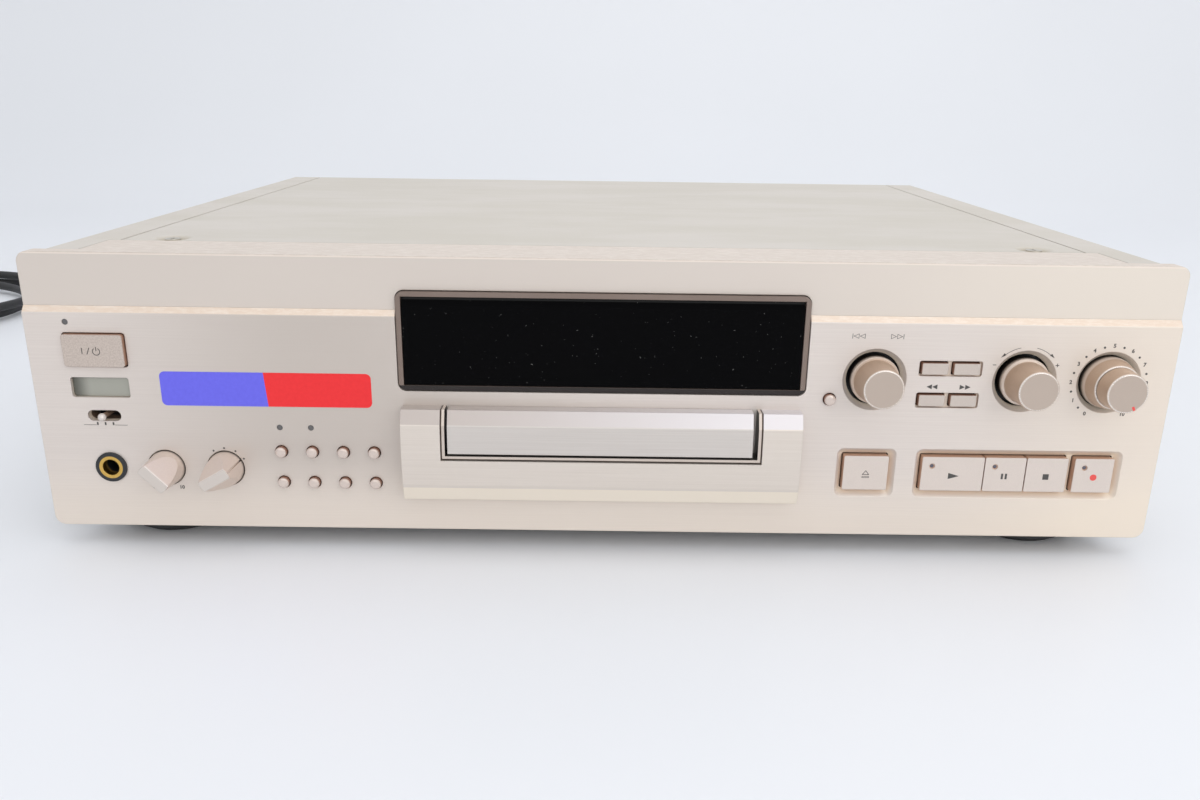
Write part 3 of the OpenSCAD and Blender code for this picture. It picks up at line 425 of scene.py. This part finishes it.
# dishes and wells get painted light, warm down their sides, and painted shade, dark at the bottom; in the
# timer's slot the painted shade is brown
inside = panelFinish.within("X", *panel["face"]) * panelFinish.within("Z", *panel["faceHigh"])
paintedWellLight = depth.between(0.15, 2.2) * inside
paintedWellShade = depth.between(2.83, 2.95) * inside
timer = panelFinish.within("X", *panel["timer"]) * panelFinish.within("Z", *panel["timerHigh"])
face = panelFinish.mix(paintedWellLight * 0.6, face, rgb(250, 232, 206))
face = panelFinish.mix(paintedWellShade, face, panelFinish.mix(timer, rgb(20, 18, 17), rgb(112, 94, 80)))
ledge = high.between(panel["ledge"], panel["ledge"] + 0.3)
panelFinish.give("Base Color", dusty(panelFinish, face, ledge, rgb(232, 213, 195), rgb(240, 226, 212)))
# the metal is dulled where the wells are painted with light and shade
panelFinish.give("Metallic", 0.35 * (1 - paintedWellShade) * (1 - paintedWellLight * 0.9))
wear(panelFinish, "front_plate")

bevels = {"upper": 46.0, "lower": 20.6}  # heights at which the block's face turns into its bevels


def bevelled(finish, dark, light, paintedBounceCream):
    # the upper bevel gets a painted reflection, brighter towards the right, and the lower one painted light
    # from below, creamier than the face
    face = brushed(finish, dark, light, 0.33)
    high = finish.axis("Z")
    upper = high.between(bevels["upper"] - 0.1, bevels["upper"] + 0.1)
    lower = 1 - high.between(bevels["lower"] - 0.1, bevels["lower"] + 0.1)
    paintedReflection = finish.mix(finish.axis("X").between(-75, 80), rgb(190, 180, 174), rgb(222, 218, 221))
    face = finish.mix(lower * 0.8, face, paintedBounceCream)
    finish.give("Base Color", finish.mix(upper * 0.92, face, paintedReflection))


blockFinish = Finish("blockFinish", Metallic=0.35)
bevelled(blockFinish, rgb(214, 204, 194), rgb(225, 216, 207), rgb(240, 229, 212))
wear(blockFinish, "escutcheon")

trayFinish = Finish("trayFinish", Metallic=0.4)
bevelled(trayFinish, rgb(201, 194, 188), rgb(213, 207, 202), rgb(208, 201, 196))
wear(trayFinish, "tray_face")

# upper cap: painted light, warmer to the right, and a painted highlight along the rim under its strip of
# dust and painted sheen
capFinish = Finish("capFinish", Metallic=0.3)
speck = capFinish.grain(2200)
drift = capFinish.noise((5, 8, 8), 2)
high = capFinish.axis("Z")
strip = high.between(107.4, 107.6)
rim = high.between(106.95, 107.15) * (1 - strip)
smooth = capFinish.mix(drift, rgb(211, 201, 192), rgb(221, 211, 202))
smooth = capFinish.mix(capFinish.axis("X").between(40, 200) * 0.6, smooth, rgb(238, 228, 214))
smooth = capFinish.mix(rim * 0.8, smooth, rgb(240, 228, 217))
capFinish.give("Base Color", dusty(capFinish, smooth, strip, rgb(220, 207, 194), rgb(234, 223, 212)))
capFinish.give("Roughness", 0.4 + 0.1 * speck)
capFinish.relief(speck, 0.000012, 0.0004)
wear(capFinish, "front_cap")

# top and sides: clouded metal, with painted shade in the dish round each screw
screwDish = {"x": 172.4, "y": 38.4, "bottom": 3.5, "rim": 7.8}
coverFinish = Finish("coverFinish", Metallic=0.2)
clouds = coverFinish.noise((9, 26, 26), 5, 0.62)
grit = coverFinish.grain(1800)
metal = coverFinish.mix(clouds.between(0.35, 0.68), rgb(208, 201, 189), rgb(215, 208, 199))
flat = 1
for side in (-1, 1):
    away = coverFinish.away(side * screwDish["x"], screwDish["y"], "XY")
    flat = flat * away.between(screwDish["bottom"], screwDish["rim"])
coverFinish.give("Base Color", coverFinish.mix((1 - flat) * 0.7, metal, rgb(176, 164, 140)))
coverFinish.give("Roughness", 0.44 + 0.14 * grit)
coverFinish.relief(grit, 0.00002, 0.0004)
wear(coverFinish, "top_plate", "side_panels")


def makeTrim(name, dark, light):
    made = Finish(name, Metallic=0.35)
    sheen = made.grain(60)
    made.give("Roughness", 0.24 + 0.12 * sheen)
    made.relief(sheen, 0.00001, 0.0004)
    return made, made.mix(sheen, dark, light)


# brown-grey frame whose lower bar is painted dark as shade
frameFinish, metal = makeTrim("frameFinish", rgb(124, 108, 98), rgb(140, 124, 115))
low = 1 - frameFinish.axis("Z").between(58.9, 59.1)
frameFinish.give("Base Color", frameFinish.mix(low, metal, rgb(44, 38, 36)))
wear(frameFinish, "window_frame")

# pale lip of the tray's slot, with painted shade: black on its inner walls and dark along its outer edge
mouth = {"inner": 59.12, "lip": 60.18, "sill": 33.62, "foot": 32.62}
slotFinish, metal = makeTrim("slotFinish", rgb(200, 187, 176), rgb(214, 202, 192))


def inMouth(half, low):  # 1 between the two sides and above the lower edge, else 0
    return slotFinish.within("X", -half, half) * slotFinish.axis("Z").between(low, low + 0.1)


lip = slotFinish.mix(inMouth(mouth["lip"], mouth["foot"]), rgb(74, 58, 48), metal)
paintedShadeWall = inMouth(mouth["inner"], mouth["sill"])
slotFinish.give("Base Color", slotFinish.mix(paintedShadeWall, lip, rgb(16, 15, 14)))
wear(slotFinish, "tray_trim")

# black acrylic of the display, with a little dust and a sloping top edge a shade lighter
glassFinish = Finish("glassFinish", Specular_IOR_Level=0.03)
dust = glassFinish.grain(900, 2).between(0.735, 0.76)
slope = glassFinish.axis("Z").between(91.7, 92.1)
black = glassFinish.mix(slope, rgb(7, 7, 8), rgb(48, 48, 48))
glassFinish.give("Base Color", glassFinish.mix(dust * 0.5, black, rgb(120, 120, 118)))
glassFinish.give("Roughness", 0.04 + 0.3 * dust)
wear(glassFinish, "display_window")

print("front: knobs, keys and buttons")
centres = {  # millimetres on the panel
    "jog": (102.6, 63.8),
    "digital": (159.1, 63.8),
    "analog": (190.9, 63.8),
    "input": (-145.5, 24.6),
    "phones": (-189.8, 24.6),
}
knobs = {  # centre, depth of the face and radius of its diamond-cut rim, painted as a bright highlight, in millimetres
    "jog_knob": (centres["jog"], -13.4, 7.5),
    "digital_knob": (centres["digital"], -13.4, 7.5),
    "analog_knob": (centres["analog"], -14.5, 7.5),
    "analog_ring": (centres["analog"], -7.0, 8.6),
}


def knobFinish(name, centre, faceDepth, rimRadius):
    made = Finish(name + "Finish", Metallic=0.5)
    depth = made.axis("Y")
    grain = made.grain(2400)
    rings = made.noise((1, 1400, 1), 2)
    front = 1 - depth.between(faceDepth, faceDepth + 0.5)
    # painted highlights on the face's diamond-cut rim and on the skirt, and painted shade on the foot
    rim = front * made.away(*centre).between(rimRadius - 0.65, rimRadius - 0.45)
    paintedSkirtHighlight = depth.between(-2.0, -1.3)
    paintedFootShade = depth.between(-0.9, 1.5)
    body = made.mix(grain, rgb(184, 158, 136), rgb(200, 176, 156))
    face = made.mix(front * 0.7, body, rgb(187, 176, 167))
    lit = made.mix(rim + paintedSkirtHighlight * 0.5, face, rgb(246, 238, 230))
    made.give("Base Color", made.mix(paintedFootShade, lit, rgb(46, 38, 34)))
    made.give("Roughness", 0.32 + 0.12 * grain - 0.12 * rim)
    made.relief(grain + rings * 0.5, 0.000012, 0.0003)
    return made


for name, facts in knobs.items():
    wear(knobFinish(name, *facts), name)

# pointer knobs: pale slopes, a greyer grip end with a painted highlight along its edge, and painted shade
# at the foot
pointerFinish = Finish("pointerFinish", Metallic=0.35)
grain = pointerFinish.grain(2400)
depth = pointerFinish.axis("Y")
gripEnd = 1 - depth.between(-12.98, -12.9)
edge = (1 - gripEnd) * (1 - depth.between(-12.8, -12.3))
paintedFootShade = depth.between(-0.9, 1.2)
body = pointerFinish.mix(grain, rgb(214, 197, 185), rgb(228, 213, 202))
face = pointerFinish.mix(gripEnd, body, rgb(212, 203, 195))
face = pointerFinish.mix(edge * 0.8, face, rgb(244, 237, 230))
pointerFinish.give("Base Color", pointerFinish.mix(paintedFootShade, face, rgb(50, 42, 38)))
pointerFinish.give("Roughness", 0.34 + 0.1 * grain)
pointerFinish.relief(grain, 0.000012, 0.0003)
wear(pointerFinish, "phone_knob", "input_knob")

# keys and buttons: light face, side walls browner with painted shade
keyFinish = Finish("keyFinish", Metallic=0.4)
grain = keyFinish.grain(2600)
paintedShadeWall = keyFinish.axis("Y").between(-0.25, -0.05)
keyFace = keyFinish.mix(grain, rgb(213, 201, 193), rgb(226, 215, 206))
keyFinish.give("Base Color", keyFinish.mix(paintedShadeWall, keyFace, rgb(205, 170, 148)))
keyFinish.give("Roughness", 0.34 + 0.1 * grain)
keyFinish.relief(grain, 0.00001, 0.0003)
wear(keyFinish, "open_button", "play_button", "pause_button", "stop_button", "record_button")

powerFinish = Finish("powerFinish", Roughness=0.42, Metallic=0.35)
grain = powerFinish.grain(1700, 4)
# painted shade on the side walls
paintedShadeWall = powerFinish.axis("Y").between(-1.5, -1.2)
powerFace = powerFinish.mix(grain.between(0.3, 0.7), rgb(190, 176, 166), rgb(208, 195, 185))
powerFinish.give("Base Color", powerFinish.mix(paintedShadeWall, powerFace, rgb(186, 146, 124)))
powerFinish.relief(grain, 0.00003, 0.0004)
wear(powerFinish, "power_button")

pearlFinish = Finish("pearlFinish", Roughness=0.26, Metallic=0.35, Coat_Weight=0.3)
grain = pearlFinish.grain(1400)
# painted shade on the side walls
paintedShadeWall = pearlFinish.axis("Y").between(-1.8, -1.4)
pearl = pearlFinish.mix(grain, rgb(208, 192, 182), rgb(222, 208, 199))
pearlFinish.give("Base Color", pearlFinish.mix(paintedShadeWall, pearl, rgb(150, 108, 90)))
pearlFinish.relief(grain, 0.00001, 0.0003)
wear(pearlFinish, "clear_button", *[f"button_{i + 1}" for i in range(8)])

barFinish = Finish("barFinish", Roughness=0.3, Metallic=0.35)
grain = barFinish.grain(1800)
# painted shade on the side walls
paintedShadeWall = barFinish.axis("Y").between(-0.55, -0.4)
barFace = barFinish.mix(grain, rgb(196, 184, 174), rgb(208, 197, 188))
barFinish.give("Base Color", barFinish.mix(paintedShadeWall, barFace, rgb(172, 132, 112)))
barFinish.relief(grain, 0.00001, 0.0003)
wear(barFinish, "bar_1", "bar_2", "bar_3", "bar_4")

# timer switch: brown slider with a bright pin
sliderFinish = Finish("sliderFinish", Metallic=0.3)
pin = 1 - sliderFinish.axis("Y").between(-0.9, -0.5)
sliderFinish.give("Base Color", sliderFinish.mix(pin, rgb(146, 122, 104), rgb(218, 210, 204)))
sliderFinish.give("Roughness", 0.5 - 0.3 * pin)
wear(sliderFinish, "timer_slider")

# lenses: a pale window with painted shade darkening it to the left, and grey lamps beside and above it
lensFinish = Finish("lensFinish")
across = lensFinish.axis("X")
beside = across.between(-178.5, -178)
above = lensFinish.axis("Z").between(74.5, 76.5)
window = lensFinish.mix(across.between(-200.4, -193.5), rgb(92, 92, 84), rgb(163, 163, 153))
lensFinish.give("Base Color", lensFinish.mix(1 - (1 - beside) * (1 - above), window, rgb(100, 98, 98)))
lensFinish.give("Roughness", 0.2 + 0.1 * lensFinish.grain(900))
wear(lensFinish, "lenses")

# headphone socket: black with a gold ring round the hole
jackFinish = Finish("jackFinish", Roughness=0.35)
away = jackFinish.away(*centres["phones"])
ring = away.between(3.0, 3.2) * (1 - away.between(4.4, 4.6))
gold = ring * (1 - jackFinish.axis("Y").between(1.5, 3.5))
jackFinish.give("Base Color", jackFinish.mix(gold, rgb(34, 36, 40), rgb(214, 176, 96)))
jackFinish.give("Metallic", gold)
jackFinish.relief(jackFinish.grain(900), 0.00001, 0.0006)
wear(jackFinish, "phones_jack")

print("case: inside, rear and screws")
sheetFinish = Finish("sheetFinish", Metallic=0.7)
spangle = sheetFinish.grain(90, 5, 0.7)
sheetFinish.give("Base Color", sheetFinish.mix(spangle, rgb(166, 166, 165), rgb(192, 192, 190)))
sheetFinish.give("Roughness", 0.34 + 0.2 * spangle)
sheetFinish.relief(sheetFinish.grain(700), 0.00002, 0.0003)
wear(sheetFinish, "chassis", "controls", "motors", "jog_sleeve", "spindle_hub", "transformer")

rearFinish = Finish("rearFinish", Roughness=0.5)
grit = rearFinish.grain(1300, 4)
rearFinish.give("Base Color", rearFinish.mix(grit, rgb(38, 38, 40), rgb(54, 54, 56)))
rearFinish.relief(grit, 0.00004, 0.0003)
wear(rearFinish, "rear_panel")

blackFinish = Finish("blackFinish")
grit = blackFinish.grain(1500)
blackFinish.give("Base Color", blackFinish.mix(grit, rgb(32, 32, 34), rgb(46, 46, 48)))
blackFinish.give("Roughness", 0.38 + 0.16 * grit)
blackFinish.relief(grit, 0.00003, 0.0003)
wear(blackFinish, "front_frame", "mech_frame", "feet", "tray", "rear_jacks")

boardFinish = Finish("boardFinish", Roughness=0.4)
weave = boardFinish.grain(400, 4)
boardFinish.give("Base Color", boardFinish.mix(weave, rgb(30, 84, 50), rgb(48, 110, 66)))
boardFinish.relief(weave, 0.00003)
wear(boardFinish, "front_board", "main_board")

gearFinish = Finish("gearFinish", Base_Color=rgb(226, 220, 204), Roughness=0.42)
gearFinish.relief(gearFinish.grain(1200), 0.00001, 0.0002)
wear(gearFinish, "load_gear", "motor_pinion")

screwFinish = Finish("screwFinish", Base_Color=rgb(206, 200, 188), Metallic=0.9)
scratch = screwFinish.grain(1600, 4)
screwFinish.give("Roughness", 0.2 + 0.25 * scratch)
screwFinish.relief(scratch, 0.00002, 0.0003)
wear(screwFinish, "top_screws")


# printed marks
inkFinish = Finish("inkFinish", Roughness=0.55)
inkFinish.give("Base Color", inkFinish.mix(inkFinish.grain(1500), rgb(66, 64, 62), rgb(88, 86, 83)))
redInk = Finish("redInk", Roughness=0.5)
redInk.give("Base Color", redInk.mix(redInk.grain(1500), rgb(226, 74, 70), rgb(240, 98, 90)))
inkThick = 0.06  # millimetres, a quarter of it under the face


class Marks:
    # printed shapes on one face of the deck; y is the face's depth, and places are on the panel
    def __init__(self, y=0.0):
        self.mesh = bmesh.new()
        self.y = y

    def spot(self, x, z, turn=0):  # turn is clockwise from the front, in degrees
        middle = Matrix.Translation(onPanel(x, self.y - inkThick / 4, z))
        return middle @ Matrix.Rotation(math.radians(turn), 4, "Y")

    def bar(self, x, z, wide, high, turn=0):
        size = Matrix.Diagonal((wide / 1000, inkThick / 1000, high / 1000, 1))
        bmesh.ops.create_cube(self.mesh, size=1, matrix=self.spot(x, z, turn) @ size)

    def shape(self, x, z, points, turn=0):  # a flat prism from (x, z) points round its place
        spot = self.spot(x, z, turn) @ Matrix.Translation((0, inkThick / 2000, 0))
        verts = [self.mesh.verts.new(spot @ (Vector((a, 0, b)) / 1000)) for a, b in points]
        made = bmesh.ops.extrude_face_region(self.mesh, geom=[self.mesh.faces.new(verts)])["geom"]
        raised = [v for v in made if isinstance(v, bmesh.types.BMVert)]
        bmesh.ops.translate(self.mesh, verts=raised, vec=(0, -inkThick / 1000, 0))

    def arrow(self, x, z, long, high, turn=0):  # points to +X before it is turned
        self.shape(x, z, [(-long / 2, -high / 2), (long / 2, 0), (-long / 2, high / 2)], turn)

    def outline(self, x, z, points, wide):  # thin bars from point to point and back to the first
        for (a, b), (c, d) in zip(points, points[1:] + points[:1]):
            long = math.hypot(c - a, d - b) + wide * 0.8
            turn = -math.degrees(math.atan2(d - b, c - a))
            self.bar(x + (a + c) / 2, z + (b + d) / 2, long, wide, turn)

    def disc(self, x, z, wide):
        angles = [math.radians(15 * i) for i in range(24)]
        self.shape(x, z, [(wide / 2 * math.cos(a), wide / 2 * math.sin(a)) for a in angles])

    def arc(self, x, z, radius, wide, start, end):  # angles anticlockwise from +X, in degrees
        near, far = radius - wide / 2, radius + wide / 2
        top, bottom = -inkThick / 2, inkThick / 2
        line = [(near, top), (far, top), (far, bottom), (near, bottom), (near, top)]
        spun(self.mesh, line, onPanel(x, self.y - inkThick / 4, z), 24, end - start, -end)

    def words(self, text, x, z, high):  # a digit of the built-in font is 0.7 of the size high
        line = bpy.data.curves.new("words", "FONT")
        line.body = text
        line.align_x, line.align_y = "CENTER", "CENTER"
        line.size = high / 700
        line.extrude = inkThick / 2000
        line.offset = high / 22000
        line.resolution_u = 3
        shape = bpy.data.objects.new("words", line)
        data = bpy.data.meshes.new_from_object(shape)
        data.transform(self.spot(x, z) @ Matrix.Rotation(math.radians(90), 4, "X"))
        self.mesh.from_mesh(data)
        bpy.data.objects.remove(shape)
        bpy.data.curves.remove(line)
        bpy.data.meshes.remove(data)

    def piece(self, name, body, finish=inkFinish):
        newPiece(self.mesh, name, body, finish)


def polar(x, z, radius, angle):  # angle clockwise from straight up, in degrees
    return x + radius * math.sin(math.radians(angle)), z + radius * math.cos(math.radians(angle))


print("marks: printing the panel")
levelScale = {"numbers": 14.3, "dots": 14.1, "start": 210, "step": 30}
turnArrows = {"radius": 13.4, "tip": 13.6, "start": 13, "end": 43}
skipMarks = {"x": 102.4, "z": 80.6, "apart": 7.0, "step": 2.3}
windMarks = {"x": 130.8, "z": 61.3, "apart": 5.2, "step": 2.1}
timerTicks = {"x": -189.8, "z": 42.3, "step": 3.0, "lineSide": 5.9, "lineHigh": 41.75}
marks = Marks()
for i in range(11):  # level scale round the analogue knob, with a dot between the numbers
    angle = levelScale["start"] + levelScale["step"] * i
    marks.words(str(i), *polar(*centres["analog"], levelScale["numbers"], angle), 1.45)
    if i < 10:
        halfway = angle + levelScale["step"] / 2
        marks.disc(*polar(*centres["analog"], levelScale["dots"], halfway), 0.85)
for angle in (-30, 0, 31, 61):
    marks.disc(*polar(*centres["input"], 8.3, angle), 0.75)
marks.words("0", -174.3, 16.4, 1.4)
marks.words("10", -163.5, 16.4, 1.4)
for i in (-1, 0, 1):
    marks.bar(timerTicks["x"] + i * timerTicks["step"], timerTicks["z"], 0.6, 1.2)
for side in (-1, 1):
    marks.bar(timerTicks["x"] + side * timerTicks["lineSide"], timerTicks["lineHigh"], 4.9, 0.16)
for side in (-1, 1):  # curved arrows, minus and plus round the digital knob
    ends = sorted((90 - side * turnArrows["start"], 90 - side * turnArrows["end"]))
    marks.arc(*centres["digital"], turnArrows["radius"], 0.18, *ends)
    tip = polar(*centres["digital"], turnArrows["tip"], side * turnArrows["end"])
    marks.arrow(*tip, 2.0, 1.0, 90 - side * 47)
marks.bar(147.0, 70.2, 1.3, 0.25)
marks.bar(170.6, 70.3, 1.4, 0.25)
marks.bar(170.6, 70.3, 0.25, 1.4)
for side in (-1, 1):  # skip marks over the jog knob, in outline
    middle = skipMarks["x"] + side * skipMarks["apart"]
    corners = [(-side * 0.95, 0.85), (-side * 0.95, -0.85), (side * 0.95, 0)]
    for step in (0, 1):
        x = middle + side * (step * skipMarks["step"] - 1.2)
        marks.outline(x, skipMarks["z"], corners, 0.16)
    marks.bar(middle + side * 2.5, skipMarks["z"], 0.2, 1.9)
for side in (-1, 1):  # rewind and wind marks between the bar buttons
    for step in (0, 1):
        x = windMarks["x"] + side * (windMarks["apart"] + step * windMarks["step"])
        marks.arrow(x, windMarks["z"], 2.0, 1.9, 90 - side * 90)
marks.piece("panelMarks", "deck")

power = Marks(-1.8)
power.bar(-193.8, 71.4, 0.3, 2.3)
power.bar(-191.5, 71.4, 0.28, 2.7, 22)
power.arc(-188.5, 71.2, 1.35, 0.28, -240, 60)
power.bar(-188.5, 72.2, 0.28, 1.6)
power.piece("powerMark", "power")

keyMark = {"depth": -0.4, "z": 25.5}
opening = Marks(keyMark["depth"])
opening.outline(102.7, 26.3, [(-1.25, -0.75), (1.25, -0.75), (0, 0.85)], 0.22)
opening.outline(102.7, 24.5, [(-1.3, -0.22), (1.3, -0.22), (1.3, 0.22), (-1.3, 0.22)], 0.18)
opening.piece("openMark", "open_close")
playing = Marks(keyMark["depth"])
playing.arrow(136.9, 25.4, 4.2, 2.5)
playing.piece("playMark", "play")
pausing = Marks(keyMark["depth"])
for side in (-1, 1):
    pausing.bar(156.5 + side * 0.75, keyMark["z"], 0.8, 2.3)
pausing.piece("pauseMark", "pause")
stopping = Marks(keyMark["depth"])
stopping.bar(172.7, keyMark["z"], 2.3, 2.3)
stopping.piece("stopMark", "stop")
recording = Marks(keyMark["depth"])
recording.disc(191.2, keyMark["z"], 2.6)
recording.piece("recordMark", "record", redInk)
level = Marks(-14.5)
level.bar(*polar(*centres["analog"], 6.3, 152), 0.9, 1.6, 152)
level.piece("levelMark", "analog_inner", redInk)

# small domed lamp at the upper left of three keys
keyLamps = {"playLamp": ("play", 128.2), "pauseLamp": ("pause", 152.6), "recordLamp": ("record", 187.3)}
lampFinish = Finish("lampFinish", Roughness=0.25)
lampFinish.give("Base Color", lampFinish.mix(lampFinish.grain(800), rgb(82, 82, 94), rgb(104, 104, 116)))
for name, (body, x) in keyLamps.items():
    mesh = bmesh.new()
    spun(mesh, [(0, 0.9), (1.0, 0.9), (1.0, 0.2), (0.7, -0.05), (0, -0.15)], onPanel(x, 0, 29.4), 24)
    newPiece(mesh, name, body, lampFinish, 50)

sticker = {
    "left": -167.0,
    "right": -87.3,
    "low": 50.0,
    "high": 63.4,
    "thick": 0.12,
    "corner": 2.0,
    "seam": -127.28,  # where blue meets red, half way up
    "lean": 0.08,
}


def makeSticker():
    # plain label, blue at the left and red at the right of a leaning seam
    x, z = (sticker["left"] + sticker["right"]) / 2, (sticker["low"] + sticker["high"]) / 2
    wide, high = sticker["right"] - sticker["left"], sticker["high"] - sticker["low"]
    made = Finish("stickerFinish", Roughness=0.4)
    paper = made.grain(700)
    past = made.axis("X") - sticker["seam"] + (made.axis("Z") - z) * sticker["lean"]
    blue = made.mix(paper, rgb(96, 94, 226), rgb(112, 110, 240))
    red = made.mix(paper, rgb(232, 28, 34), rgb(246, 44, 48))
    made.give("Base Color", made.mix(past.between(-0.02, 0.02), blue, red))
    made.relief(paper, 0.000008)
    mesh = bmesh.new()
    block(mesh, onPanel(x, 0.01 - sticker["thick"] / 2, z), (wide, sticker["thick"], high))
    corners = [e for e in mesh.edges if abs((e.verts[0].co - e.verts[1].co).y) > 0.0001]
    roundOff(mesh, corners, sticker["corner"], 6)
    newPiece(mesh, "sticker", "deck", made)


makeSticker()

# room, in metres
room = {"front": -3.0, "back": 1.5, "side": 4, "high": 3.0, "curve": 0.7}
lamps = {  # place, aim, size, watts and colour
    "ceilingLamp": ((0.3, 0.0, 1.7), (0, 0, 0.05), (2.4, 1.8), 8, (1, 1, 1)),
    "windowLamp": ((1.3, -1.6, 0.95), (0, 0, 0.05), (1.6, 1.0), 7, (1, 0.98, 0.95)),
    "lowLamp": ((0.2, -2.1, 0.85), (0, 0, 0.02), (3.4, 0.8), 7.4, (1, 0.99, 0.97)),
}
sky = {"low": (0.66, 0.65, 0.64, 1), "high": (0.86, 0.88, 0.92, 1)}


def makeRoom():
    # pale floor that curves up into the wall behind
    mesh = bmesh.new()
    line = [(room["front"], 0)]
    for i in range(13):
        angle = math.radians(7.5 * i)
        y = room["back"] - room["curve"] + room["curve"] * math.sin(angle)
        line.append((y, room["curve"] - room["curve"] * math.cos(angle)))
    line.append((room["back"], room["high"]))
    verts = [mesh.verts.new((-room["side"], y, z)) for y, z in line]
    edges = [mesh.edges.new(pair) for pair in zip(verts, verts[1:])]
    made = bmesh.ops.extrude_edge_only(mesh, edges=edges)["geom"]
    moved = [v for v in made if isinstance(v, bmesh.types.BMVert)]
    bmesh.ops.translate(mesh, verts=moved, vec=(2 * room["side"], 0, 0))
    bmesh.ops.recalc_face_normals(mesh, faces=mesh.faces)
    data = bpy.data.meshes.new("room")
    mesh.to_mesh(data)
    mesh.free()
    data.shade_smooth()
    piece = bpy.data.objects.new("room", data)
    bpy.context.scene.collection.objects.link(piece)
    paint = Finish("roomFinish", Roughness=0.35, Specular_IOR_Level=0.35)
    mist = paint.grain(1.2, 2)
    paint.give("Base Color", paint.mix(mist, rgb(229, 231, 234), rgb(237, 239, 243)))
    data.materials.append(paint.material)


def addLamp(name, place, aim, size, watts, colour):
    data = bpy.data.lights.new(name, "AREA")
    data.shape = "RECTANGLE"
    data.size, data.size_y = size
    data.energy = watts
    data.color = colour
    lamp = bpy.data.objects.new(name, data)
    lamp.location = place
    lamp.rotation_euler = (Vector(aim) - Vector(place)).to_track_quat("-Z", "Y").to_euler()
    bpy.context.scene.collection.objects.link(lamp)


def makeSky():
    # brighter and cooler overhead than at the sides, as in a white room
    world = bpy.data.worlds.new("studio")
    world.use_nodes = True
    tree = world.node_tree
    coordinate = tree.nodes.new("ShaderNodeTexCoord")
    parts = tree.nodes.new("ShaderNodeSeparateXYZ")
    rise = tree.nodes.new("ShaderNodeMapRange")
    mixed = tree.nodes.new("ShaderNodeMix")
    mixed.data_type = "RGBA"
    rise.inputs[1].default_value, rise.inputs[2].default_value = -0.1, 0.9
    mixed.inputs[6].default_value = sky["low"]
    mixed.inputs[7].default_value = sky["high"]
    tree.links.new(coordinate.outputs["Generated"], parts.inputs[0])
    tree.links.new(parts.outputs["Z"], rise.inputs[0])
    tree.links.new(rise.outputs[0], mixed.inputs[0])
    tree.links.new(mixed.outputs[2], tree.nodes["Background"].inputs["Color"])
    bpy.context.scene.world = world


print("room: floor, lamps and sky")
makeRoom()
makeSky()
for name, facts in lamps.items():
    addLamp(name, *facts)

bpy.context.scene.view_settings.view_transform = "Standard"
